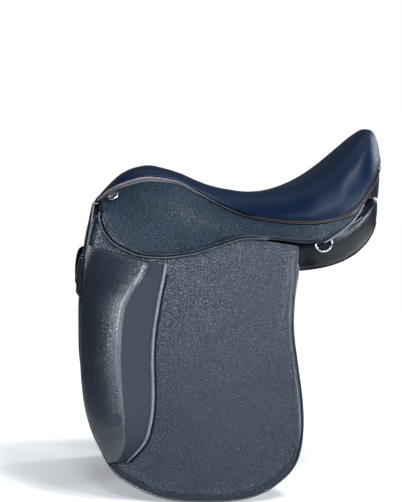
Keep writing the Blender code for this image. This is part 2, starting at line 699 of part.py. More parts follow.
def make_flap(name, side):
    bend = BENDS[side]
    flap = slab(f"flap_{name}", bend, flap_outline(), FLAP_FACE, FLAP_BACK, "grained_leather")
    cut(flap, bar_window(bend, f"flap_window_{name}", FLAP_FACE + 0.001, FLAP_BACK - 0.001))
    make_knee_block(name, bend)


def make_knee_block(name, bend):
    front = smooth_path(BLOCK_FRONT, 2)
    rear = smooth_path(BLOCK_REAR, 2)
    rise = profile(BLOCK_RISE)
    section = profile(BLOCK_SECTION)
    shares = [s for s, _ in BLOCK_SECTION]
    last = len(front) - 1
    top = []
    low = []
    for k, ((fa, fd), (ra, rd)) in enumerate(zip(front, rear)):
        high = BLOCK_HEIGHT * rise(k / last)
        line = [(lerp(fa, ra, s), lerp(fd, rd, s), high * section(s)) for s in shares]
        top.append([bend.local(a, d, FLAP_FACE + TOUCH + h) for a, d, h in line])
        low.append([bend.local(a, d, FLAP_FACE + TOUCH) for a, d, _ in line])
    skins(f"knee_block_{name}", top, low, "grained_leather", matrix=bend.matrix())


def sweat_outline():
    """The sweat flap follows the flap, shorter below and a little longer behind."""
    front = [(a + 0.006, d) for a, d in FLAP_FRONT[:-1]]
    bottom = [(a + (SWEAT_REAR_EXTRA if a > 0.30 else 0.0), d - SWEAT_SHORTER) for a, d in FLAP_BOTTOM[1:-1]]
    rear = [(a + SWEAT_REAR_EXTRA, d) for a, d in FLAP_REAR[:-1]] + [(0.305, 0.004)]
    return smooth_path(tuple(front) + tuple(bottom) + tuple(rear), 2)


def make_sweat_flap(name, side):
    bend = BENDS[side]
    flap = slab(f"sweat_flap_{name}", bend, sweat_outline(), SWEAT_FACE, SWEAT_BACK, "smooth_leather")
    cut(flap, bar_window(bend, f"sweat_window_{name}", SWEAT_FACE + 0.001, SWEAT_BACK - 0.001))
    outline = smooth_path(LEG_PAD + LEG_PAD[:1], 2)[:-1]
    pad_face = SWEAT_BACK - TOUCH
    slab(f"leg_pad_{name}", bend, outline, pad_face, pad_face - LEG_PAD_THICKNESS, "smooth_leather")
    pocket = smooth_path(POCKET, 2)
    pocket_back = SWEAT_FACE + TOUCH
    slab(f"point_pocket_{name}", bend, pocket, pocket_back + POCKET_THICKNESS, pocket_back, "edge_leather")


# Girth straps

def strap_outline():
    """A strap with a round head at its pivot and a pointed tip; first number across, second down."""
    half = BILLET_WIDTH / 2
    head = [(half * math.cos(t), -half * math.sin(t)) for t in [math.pi * k / 8 for k in range(9)]]
    tip = [(-half, BILLET_LENGTH - 0.030), (-half * 0.45, BILLET_LENGTH - 0.006), (0.0, BILLET_LENGTH),
           (half * 0.45, BILLET_LENGTH - 0.006), (half, BILLET_LENGTH - 0.030)]
    return head + tip


def punch_cutter(name, bend, matrix):
    """All the strap's holes as one cutter."""
    bm = bmesh.new()
    for k in range(BILLET_HOLES):
        down = BILLET_FIRST_HOLE + k * BILLET_HOLE_PITCH
        middle = Matrix.Translation(bend.local(0.0, down, -BILLET_THICKNESS / 2))
        place = middle @ Matrix.Rotation(math.pi / 2, 4, "X")
        bmesh.ops.create_cone(bm, cap_ends=True, segments=10, radius1=BILLET_HOLE_RADIUS,
                              radius2=BILLET_HOLE_RADIUS, depth=BILLET_THICKNESS * 2, matrix=place)
    return finish_mesh(name, bm, "edge_leather", matrix, smooth=False)


def make_billets(name, side):
    bend = BENDS[side]
    turn = Matrix.Rotation(-bend.gravity_turn(), 4, "Y")
    for label, along in zip(("front", "rear"), BILLET_PLACES):
        frame = bend.matrix(along, BILLET_PIVOT_DROP, BILLET_OUTER) @ turn
        strap = slab(f"billet_{label}_{name}", bend, strap_outline(), 0.0, -BILLET_THICKNESS, "strap_leather",
                     frame)
        cut(strap, punch_cutter(f"punch_{label}_{name}", bend, frame))


def make_girth_web(name, side):
    """Webbing that comes over the rail and down behind the heads of the girth straps."""
    bend = BENDS[side]
    out = BILLET_BACK - TOUCH
    start = bend.point(BILLET_PLACES[0] - 0.016, 0.0, 0.0).x
    end = bend.point(BILLET_PLACES[1] + 0.016, 0.0, 0.0).x
    rows = []
    for i in range(9):
        x = lerp(start, end, i / 8)
        lift = GIRTH_WEB_THICKNESS + 2 * SOFT_TOUCH
        row = [tree_side_point(side, x, q, -lift) for q in (0.06, 0.25, 0.45)]
        row.append(bend.at(x, -0.010, out - 0.002))
        row.append(bend.at(x, 0.000, out))
        row.append(bend.at(x, BILLET_PIVOT_DROP + 0.008, out))
        rows.append(row if side > 0 else row[::-1])
    sheet(f"girth_web_{name}", rows, GIRTH_WEB_THICKNESS, "webbing")


# Stirrup bars

def make_stirrup_bar(name, side, tree):
    bend = BENDS[side]
    plate_face = TREE_FACE + TOUCH + PLATE_THICKNESS
    outline = ((BAR_FROM, TREE_FACE + TOUCH), (BAR_PLATE_END, TREE_FACE + TOUCH), (BAR_PLATE_END, plate_face),
               (BAR_FROM + BAR_ROOT, plate_face), (BAR_FROM + BAR_ROOT, BAR_OUTER - BAR_LEAF_THICKNESS),
               (BAR_LEAF_END, BAR_OUTER - BAR_LEAF_THICKNESS), (BAR_LEAF_END, BAR_OUTER), (BAR_FROM, BAR_OUTER))
    rings = [[bend.local(a, d, out) for a, out in outline] for d in (BAR_TOP, BAR_TOP + BAR_HEIGHT)]
    bar = loft(f"stirrup_bar_{name}", rings, "steel", bend.matrix())
    middle = BAR_TOP + BAR_HEIGHT / 2
    for number, along in enumerate(RIVET_PLACES, 1):
        frame = bend.matrix(along, middle, 0.0)
        hole = pin(f"rivet_hole_{number}_{name}", RIVET_RADIUS + RUNNING, plate_face + 0.004,
                   TREE_FACE - TREE_THICKNESS - 0.004, "steel", bend, frame)
        cut(bar, hole)
        cut(tree, hole)
        pin(f"bar_rivet_{number}_{name}", RIVET_RADIUS, plate_face + TOUCH, TREE_FACE - TREE_THICKNESS - TOUCH,
            "steel", bend, frame, heads=(RIVET_HEAD_RADIUS, RIVET_HEAD_HEIGHT))
    make_catch(name, bend, bar, middle)


def make_catch(name, bend, bar, middle):
    """Thumb catch behind the open end of the bar, on a pin through the leaf."""
    along = BAR_LEAF_END - CATCH_WIDTH / 2
    back = BAR_OUTER - BAR_LEAF_THICKNESS
    frame = bend.matrix(along, middle, 0.0)
    half = CATCH_WIDTH / 2
    turn = [math.pi / 2 + math.pi * k / 8 for k in range(9)]
    outline = [(half * math.cos(t), -half * math.sin(t)) for t in turn]
    outline += [(CATCH_LENGTH - 0.003, half), (CATCH_LENGTH, half - 0.003), (CATCH_LENGTH, 0.003 - half),
                (CATCH_LENGTH - 0.003, -half)]
    outline.reverse()
    catch = slab(f"bar_catch_{name}", bend, outline, back - TOUCH, back - TOUCH - CATCH_THICKNESS, "steel", frame)
    hole = pin(f"catch_hole_{name}", CATCH_PIN_RADIUS + RUNNING, BAR_OUTER + 0.004, back - CATCH_THICKNESS - 0.004,
               "steel", bend, frame)
    cut(bar, hole)
    cut(catch, hole)
    pin(f"catch_pin_{name}", CATCH_PIN_RADIUS, BAR_OUTER - 0.0004, back - CATCH_THICKNESS - 2 * TOUCH, "steel",
        bend, frame)


# Dees

def dee_path(width, wire):
    """A D in its own plane: a straight bar on X at the top and a round bow below it."""
    half = width / 2 - wire
    corner = half * 0.25
    path = [Vector((lerp(-1, 1, k / 4) * (half - corner), 0.0, 0.0)) for k in range(5)]
    bow = [math.pi * k / 12 for k in range(13)]
    path += [Vector((half * math.cos(t), 0.0, -corner - half * 1.05 * math.sin(t))) for t in bow]
    return path


def tube_rings(half, radius, lift=0.0):
    """Two circles about X, at both ends of a short round piece."""
    turn = [2 * math.pi * k / 12 for k in range(12)]
    return [[Vector((x, radius * math.cos(t), radius * math.sin(t) + lift)) for t in turn] for x in (-half, half)]


def make_dee(name, frame, width, wire, loop_name, loop_finish):
    """A dee that swings on its straight bar, and the loop that carries the bar."""
    rod(name, dee_path(width, wire), wire, "chrome", cyclic=True, resolution=1, matrix=frame)
    inner = wire + RUNNING
    outer = inner + DEE_LOOP_WALL
    half = (width / 2 - wire) * 0.62
    loop = loft(loop_name, tube_rings(half, outer), loop_finish, frame)
    cut(loop, loft(f"{loop_name}_bore", tube_rings(half + 0.002, inner), loop_finish, frame))


def skirt_frame(side, x, v, depth, hanging):
    """Frame on or under the skirt: X along it, Z up its slope, or upright for what hangs free."""
    along = (skirt_point(side, x + 0.01, v) - skirt_point(side, x - 0.01, v)).normalized()
    rise = Vector((0.0, 0.0, 1.0))
    if not hanging:
        rise = skirt_point(side, x, v - 0.1) - skirt_point(side, x, v + 0.1)
    up = (rise - along * rise.dot(along)).normalized()
    frame = Matrix((along, up.cross(along), up)).transposed().to_4x4()
    frame.translation = skirt_point(side, x, v, depth)
    return frame


def make_dees(name, side):
    x, v = FRONT_DEE_AT
    stand = FRONT_DEE_WIRE + RUNNING + DEE_LOOP_WALL + SOFT_TOUCH
    make_dee(f"front_dee_{name}", skirt_frame(side, x, v, -stand, False), FRONT_DEE_WIDTH, FRONT_DEE_WIRE,
             f"front_dee_clip_{name}", "chrome")
    x, v = REAR_DEE_AT
    stand = SKIRT_THICKNESS + REAR_DEE_WIRE + RUNNING + DEE_LOOP_WALL + 2 * SOFT_TOUCH
    make_dee(f"rear_dee_{name}", skirt_frame(side, x, v, stand, True), REAR_DEE_WIDTH, REAR_DEE_WIRE,
             f"rear_dee_loop_{name}", "strap_leather")


# Panels and linings

def front_slope(x, z):
    """How far a point of the arch's front runs forward, less and less towards the rear."""
    share = max(0.0, min(1.0, (x - FRONT_SLOPE_END) / (SEAT_FRONT - FRONT_SLOPE_END)))
    return FRONT_SLOPE * (seam_height(SEAT_FRONT) - z) * share


def panel_ring(side, section):
    """One cross-section of a panel: a rounded slab between its inner top and outer bottom."""
    x, inner, outer, half = section
    top = Vector((0.0, inner[0], inner[1]))
    low = Vector((0.0, outer[0], outer[1]))
    middle = (top + low) / 2
    reach = (low - top) / 2
    across = Vector((0.0, -reach.z, reach.y)).normalized() * half
    ring = []
    for k in range(16):
        t = 2 * math.pi * k / 16
        c = math.copysign(abs(math.cos(t)) ** (2 / PANEL_POWER), math.cos(t))
        s = math.copysign(abs(math.sin(t)) ** (2 / PANEL_POWER), math.sin(t))
        p = middle + reach * c + across * s
        ring.append(Vector((x - front_slope(x, p.z), side * p.y, p.z)))
    return ring


def panel_sections():
    """Stations between the given ones, for a smooth cushion."""
    flat = [(x, *inner, *outer, half) for x, inner, outer, half in PANEL_SECTIONS]
    xs = [row[0] for row in flat]
    curves = [profile([(row[0], row[k]) for row in flat]) for k in range(1, 6)]
    sections = []
    for i in range(26):
        x = lerp(xs[0], xs[-1], ease(i / 25, 0.75))
        iy, iz, oy, oz, half = (curve(x) for curve in curves)
        sections.append((x, (iy, iz), (oy, oz), half))
    return sections


def make_panel(name, side):
    loft(f"panel_{name}", [panel_ring(side, s) for s in panel_sections()], "smooth_leather")


def make_channel_lining():
    """Strip of leather that closes the channel's ceiling between the panels."""
    inner_y = profile([(x, inner[0]) for x, inner, _, _ in PANEL_SECTIONS])
    inner_z = profile([(x, inner[1]) for x, inner, _, _ in PANEL_SECTIONS])
    rows = []
    for i in range(21):
        x = lerp(*CHANNEL_SPAN, i / 20)
        half = inner_y(x) - SOFT_TOUCH
        z = inner_z(x) + CHANNEL_LINING / 2
        rows.append([Vector((x, half * s, z + CHANNEL_ARCH * (1 - s * s))) for s in (-1, -0.5, 0, 0.5, 1)])
    sheet("channel_lining", rows, CHANNEL_LINING, "smooth_leather")


def make_pommel_facings():
    """Leather that closes the front of the arch on each side."""
    back = PANEL_SECTIONS[0][0] - TOUCH
    for name, side in SIDES:
        outline = [(max(y, TOUCH), z) for y, z in FACING_INNER + FACING_OUTER]
        rings = []
        for x in (back, back - FACING_THICKNESS):
            rings.append([Vector((x - front_slope(x, z), side * y, z)) for y, z in outline])
        loft(f"pommel_facing_{name}", rings, "edge_leather")


def make_cantle_facing():
    """Leather that closes the back of the cantle, from the seat's seam down to the panels."""
    xs = [CANTLE_FACING_START] + [x for x in SEAT_STATIONS if x > CANTLE_FACING_START + 0.001]
    far = [(x, seam_spot(x, 0.0)) for x in xs]
    arc = [Vector((p.x, p.y, 0.0)) for _, p in far] + [Vector((p.x, -p.y, 0.0)) for _, p in reversed(far)]
    tops = [below_welt(x) for x in xs + xs[::-1]]
    rows = []
    for k, (p, top) in enumerate(zip(arc, tops)):
        along = arc[min(k + 1, len(arc) - 1)] - arc[max(k - 1, 0)]
        inwards = Vector((-along.y, along.x, 0.0)).normalized()
        if inwards.x > 0:
            inwards.negate()
        low = min(CANTLE_FACING_LOW, top - CANTLE_FACING_LEAST)
        row = []
        for step in range(4):
            place = p + inwards * (TOUCH + CANTLE_FACING_LEAN * step / 3)
            row.append(Vector((place.x, place.y, lerp(top, low, step / 3))))
        reach, fall = CANTLE_SHELF
        share = max(0.15, min(1.0, (p.x - CANTLE_FACING_START) / CANTLE_SHELF_RUN))
        row.append(row[-1] + inwards * reach * share - Vector((0.0, 0.0, fall)))
        rows.append(row)
    sheet("cantle_facing", rows, FACING_THICKNESS, "smooth_leather")


def make_welt():
    """Piping on the seat's seam, from the pommel round the cantle and back to the pommel."""
    stand = WELT_RADIUS + SOFT_TOUCH
    far = []
    for x in SEAT_STATIONS[1:]:
        far.append(seam_spot(x, TOUCH) + outline_normal(x) * stand)
    near = [Vector((p.x, -p.y, p.z)) for p in far]
    rod("seat_welt", far + near[::-1], WELT_RADIUS, "piping_leather")


def main():
    clear_scene()
    make_seat()
    make_webs()
    tree = make_tree()
    make_gullet_plate()
    make_spring_steels()
    make_channel_lining()
    make_pommel_facings()
    make_cantle_facing()
    make_welt()
    for name, side in SIDES:
        make_skirt(name, side)
        make_flap(name, side)
        make_sweat_flap(name, side)
        make_panel(name, side)
        make_billets(name, side)
        make_girth_web(name, side)
        make_stirrup_bar(name, side, tree)
        make_dees(name, side)


main()
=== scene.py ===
"""Looks of the riding saddle: its leathers, cushions, piping, straps and metal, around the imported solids.

Metres, in the solids' own frame: front (pommel) at -X, near side at -Y, up +Z.
"""
import json
import logging
import math
from dataclasses import dataclass
from enum import Enum
from typing import Callable, Optional, Sequence

import bmesh
import bpy
import numpy as np
from mathutils import Matrix, Vector
from mathutils.geometry import delaunay_2d_cdt


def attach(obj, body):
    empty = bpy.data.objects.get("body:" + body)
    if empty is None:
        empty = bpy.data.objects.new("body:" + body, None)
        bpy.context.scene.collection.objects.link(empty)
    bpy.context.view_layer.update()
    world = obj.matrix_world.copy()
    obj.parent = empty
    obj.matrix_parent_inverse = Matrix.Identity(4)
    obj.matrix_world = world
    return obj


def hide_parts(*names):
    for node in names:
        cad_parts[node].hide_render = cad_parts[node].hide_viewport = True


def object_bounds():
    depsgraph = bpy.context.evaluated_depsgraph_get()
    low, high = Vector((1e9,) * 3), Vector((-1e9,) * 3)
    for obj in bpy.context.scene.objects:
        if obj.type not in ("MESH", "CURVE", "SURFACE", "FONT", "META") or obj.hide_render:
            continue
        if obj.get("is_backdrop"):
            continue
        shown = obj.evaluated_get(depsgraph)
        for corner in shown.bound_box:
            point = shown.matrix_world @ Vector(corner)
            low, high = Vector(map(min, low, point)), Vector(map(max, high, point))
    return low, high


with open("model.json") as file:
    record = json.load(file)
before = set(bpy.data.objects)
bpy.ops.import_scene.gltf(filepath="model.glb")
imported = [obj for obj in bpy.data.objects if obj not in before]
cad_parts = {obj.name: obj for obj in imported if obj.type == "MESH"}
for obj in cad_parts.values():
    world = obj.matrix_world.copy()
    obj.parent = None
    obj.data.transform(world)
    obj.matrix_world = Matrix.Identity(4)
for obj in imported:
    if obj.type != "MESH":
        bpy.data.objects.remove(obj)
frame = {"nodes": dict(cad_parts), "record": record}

LOG = logging.getLogger("saddle")
Point2 = tuple[float, float]
Point3 = tuple[float, float, float]
Grid = list[list[Vector]]
Thing = bpy.types.Object
Socket = bpy.types.NodeSocket
Place = Callable[[float, float, float], Vector]


class Side(Enum):
    """The two sides of the saddle: label in the pieces' names, and sign of Y."""

    NEAR = ("left", -1)
    FAR = ("right", 1)

    @property
    def label(self) -> str:
        """Word used in the names of this side's pieces."""
        return self.value[0]

    @property
    def sign(self) -> int:
        """Sign of Y on this side."""
        return self.value[1]


# Curves and meshes

CRISP_ANGLE = math.radians(50.0)
TIP_LENGTH = 0.6
TIP_WIDTH = 0.5


class Profile:
    """Smooth function through points of a rising first coordinate."""

    def __init__(self, *points: Point2) -> None:
        """Keep the points and work out a slope at each that never overshoots.

        Args:
            points: pairs of argument and value.
        """
        self.xs = [p[0] for p in points]
        self.ys = [p[1] for p in points]
        steps = [(y1 - y0) / (x1 - x0) for (x0, y0), (x1, y1) in zip(points, points[1:])]
        inner = [0.0 if a * b <= 0.0 else 2.0 * a * b / (a + b) for a, b in zip(steps, steps[1:])]
        self.slopes = [steps[0], *inner, steps[-1]]

    def __call__(self, x: float) -> float:
        """Value at x, held level outside the points.

        Args:
            x: the argument.
        Returns:
            The smooth function's value.
        """
        xs, ys = self.xs, self.ys
        x = min(max(x, xs[0]), xs[-1])
        i = 0
        while i < len(xs) - 2 and x > xs[i + 1]:
            i += 1
        span = xs[i + 1] - xs[i]
        t = (x - xs[i]) / span
        start = ys[i] * (1 + 2 * t) * (1 - t) ** 2 + self.slopes[i] * span * t * (1 - t) ** 2
        end = ys[i + 1] * t * t * (3 - 2 * t) + self.slopes[i + 1] * span * t * t * (t - 1)
        return start + end

    def slope(self, x: float, nudge: float = 0.001) -> float:
        """Slope at x, measured over twice the nudge."""
        return (self(x + nudge) - self(x - nudge)) / (2 * nudge)


def lerp(a: float, b: float, t: float) -> float:
    """Value between a and b."""
    return a + (b - a) * t


def ease(t: float, strength: float) -> float:
    """Spread shares from 0 to 1 so that they lie closer at both ends."""
    return (1 - strength) * t + strength * (1 - math.cos(math.pi * t)) / 2


def stations(start: float, end: float, steps: int, crowd: float = 0.0) -> list[float]:
    """Values from start to end, as many steps apart, closer at both ends the more they are to crowd."""
    return [lerp(start, end, ease(i / steps, crowd)) for i in range(steps + 1)]


def turns(count: int) -> list[float]:
    """Angles of as many points round a circle."""
    return [2 * math.pi * k / count for k in range(count)]


def smooth_path(points: Sequence[Sequence[float]], steps: int) -> list[tuple[float, ...]]:
    """Path through the points without corners.

    Args:
        points: points of two or three coordinates.
        steps: how many stretches lie between two of them.
    Returns:
        The points of a Catmull-Rom path.
    """
    ends = [points[0], *points, points[-1]]
    path = []
    for stretch in zip(ends, ends[1:], ends[2:], ends[3:]):
        for k in range(steps):
            t = k / steps
            path.append(tuple(
                0.5 * (2 * b + (c - a) * t
                       + (2 * a - 5 * b + 4 * c - d) * t ** 2
                       + (3 * b - a - 3 * c + d) * t ** 3)
                for a, b, c, d in zip(*stretch)))
    path.append(tuple(points[-1]))
    return path


def smooth_loop(points: Sequence[Point2], steps: int) -> list[tuple[float, ...]]:
    """Closed path through the points, smooth everywhere but at the first."""
    return smooth_path([*points, points[0]], steps)[:-1]


def even_steps(path: Sequence[Sequence[float]], step: float, closed: bool = False) -> np.ndarray:
    """Points at even distances along a path.

    Args:
        path: the path's points.
        step: distance between two of the new points.
        closed: whether the last point joins the first.
    Returns:
        An array of the new points; a closed path's last point isn't repeated.
    """
    points = np.array([*path, path[0]] if closed else path, float)
    lengths = np.concatenate(([0.0], np.cumsum(np.linalg.norm(np.diff(points, axis=0), axis=1))))
    count = max(3, round(lengths[-1] / step))
    spots = np.linspace(0.0, lengths[-1], count + 1)
    if closed:
        spots = spots[:-1]
    return np.stack([np.interp(spots, lengths, points[:, k]) for k in range(points.shape[1])], axis=1)


def put(name: str, data: bpy.types.ID) -> Thing:
    """Make an object and place it in the scene.

    Args:
        name: the object's name.
        data: its mesh, light or camera.
    Returns:
        The object.
    """
    thing = bpy.data.objects.new(name, data)
    bpy.context.scene.collection.objects.link(thing)
    return thing


def aim(thing: Thing, spot: Sequence[float], target: Sequence[float]) -> None:
    """Hang a light or the camera at a spot, facing a target."""
    thing.location = spot
    thing.rotation_euler = (Vector(spot) - Vector(target)).to_track_quat("Z", "Y").to_euler()


def add_mesh(name: str, verts: Sequence, faces: Sequence) -> Thing:
    """Make an object with smooth shading, outward normals and crisp sharp edges.

    Args:
        name: the object's name.
        verts: its points.
        faces: its faces, as indices.
    Returns:
        The new object.
    """
    mesh = bpy.data.meshes.new(name)
    mesh.from_pydata([tuple(v) for v in verts], [], [tuple(f) for f in faces])
    bm = bmesh.new()
    bm.from_mesh(mesh)
    bmesh.ops.recalc_face_normals(bm, faces=bm.faces)
    bm.to_mesh(mesh)
    bm.free()
    mesh.shade_smooth()
    mesh.set_sharp_from_angle(angle=CRISP_ANGLE)
    return put(name, mesh)


def offset_rows(rows: Grid, distance: float) -> Grid:
    """A grid moved along its normals, which are taken from differences along and across.

    Args:
        rows: the grid's points.
        distance: how far it moves.
    Returns:
        The moved grid.
    """
    last_row, last = len(rows) - 1, len(rows[0]) - 1
    moved = []
    for i, row in enumerate(rows):
        before, after = rows[max(i - 1, 0)], rows[min(i + 1, last_row)]
        normals = [(after[j] - before[j]).cross(row[min(j + 1, last)] - row[max(j - 1, 0)]).normalized()
                   for j in range(len(row))]
        moved.append([p + n * distance for p, n in zip(row, normals)])
    return moved


def shell(name: str, outer: Grid, inner: Grid) -> Thing:
    """Close two grids of the same size into one body.

    Args:
        name: the object's name.
        outer: grid of the outer face.
        inner: grid of the inner face.
    Returns:
        The new object. Its outer and inner faces take turns, row by row, and its rim comes last.
    """
    rows, columns = len(outer), len(outer[0])
    verts = [p for grid in (outer, inner) for row in grid for p in row]
    shift = rows * columns
    faces = []
    for i in range(rows - 1):
        for j in range(columns - 1):
            a, d = i * columns + j, i * columns + j + 1
            b, c = a + columns, d + columns
            faces += [(a, b, c, d), (a + shift, d + shift, c + shift, b + shift)]
    rim = [*range(columns)] + [i * columns + columns - 1 for i in range(1, rows)]
    rim += [(rows - 1) * columns + j for j in range(columns - 2, -1, -1)]
    rim += [i * columns for i in range(rows - 2, 0, -1)]
    faces += [(a, b, b + shift, a + shift) for a, b in zip(rim, rim[1:] + rim[:1])]
    return add_mesh(name, verts, faces)


def ring_faces(rings: int, sides: int, closed: bool = False, start: int = 0) -> list[tuple[int, ...]]:
    """Faces of a body through rings of points.

    Args:
        rings: number of rings.
        sides: points of a ring.
        closed: whether the last ring joins the first, in place of a cap at each end.
        start: index of the first point.
    Returns:
        The faces, as indices.
    """
    faces = []
    for i in range(rings if closed else rings - 1):
        near, far = start + i * sides, start + (i + 1) % rings * sides
        for k in range(sides):
            m = (k + 1) % sides
            faces.append((near + k, near + m, far + m, far + k))
    if not closed:
        faces += [tuple(range(end, end + sides)) for end in (start, start + (rings - 1) * sides)]
    return faces


def loft(name: str, rings: Grid, closed: bool = False) -> Thing:
    """A body through rings of the same number of points, capped or closed on itself."""
    faces = ring_faces(len(rings), len(rings[0]), closed)
    return add_mesh(name, [p for ring in rings for p in ring], faces)


def tube(name: str, path: Sequence[Vector], radius: float | Sequence[float], sides: int = 10,
         closed: bool = False) -> Thing:
    """A round rod along a path, with round ends where it isn't closed.

    Args:
        name: the object's name.
        path: points of its centre line.
        radius: one radius, or one for each point.
        sides: points of its cross-section.
        closed: whether the path returns to its start.
    Returns:
        The new object.
    """
    count = len(path)
    radii = [radius] * count if isinstance(radius, (int, float)) else list(radius)
    ahead = [(path[(i + 1) % count] if closed or i < count - 1 else path[i])
             - (path[i - 1] if closed or i > 0 else path[i]) for i in range(count)]
    across = ahead[0].orthogonal().normalized()
    rings = []
    for spot, way, size in zip(path, ahead, radii):
        way = way.normalized()
        across = (across - way * across.dot(way)).normalized()
        other = way.cross(across)
        rings.append([spot + (across * math.cos(t) + other * math.sin(t)) * size for t in turns(sides)])
    if closed:
        return loft(name, rings, closed=True)
    tips = []
    for end, sign in ((0, -1), (-1, 1)):
        out = ahead[end].normalized() * radii[end] * TIP_LENGTH * sign
        tips.append([path[end] + (p - path[end]) * TIP_WIDTH + out for p in rings[end]])
    return loft(name, [tips[0], *rings, tips[1]])


def stitches(name: str, path: Sequence[Vector], pitch: float, length: float, radius: float) -> Thing:
    """A row of thread stitches, each a short rounded stretch.

    Args:
        name: the object's name.
        path: line of the seam, on the surface.
        pitch: distance from one stitch to the next.
        length: length of a stitch.
        radius: radius of the thread.
    Returns:
        The new object.
    """
    spots = [Vector(p) for p in even_steps([tuple(p) for p in path], pitch)]
    verts, faces = [], []
    sides = 6
    rings = ((-0.5, 0.45), (-0.3, 1.0), (0.3, 1.0), (0.5, 0.45))
    for a, b in zip(spots, spots[1:]):
        way = (b - a).normalized()
        across = way.orthogonal().normalized()
        other = way.cross(across)
        faces += ring_faces(len(rings), sides, start=len(verts))
        for along, size in rings:
            middle = (a + b) / 2 + way * along * length
            verts += [middle + (across * math.cos(t) + other * math.sin(t)) * radius * size
                      for t in turns(sides)]
    return add_mesh(name, verts, faces)


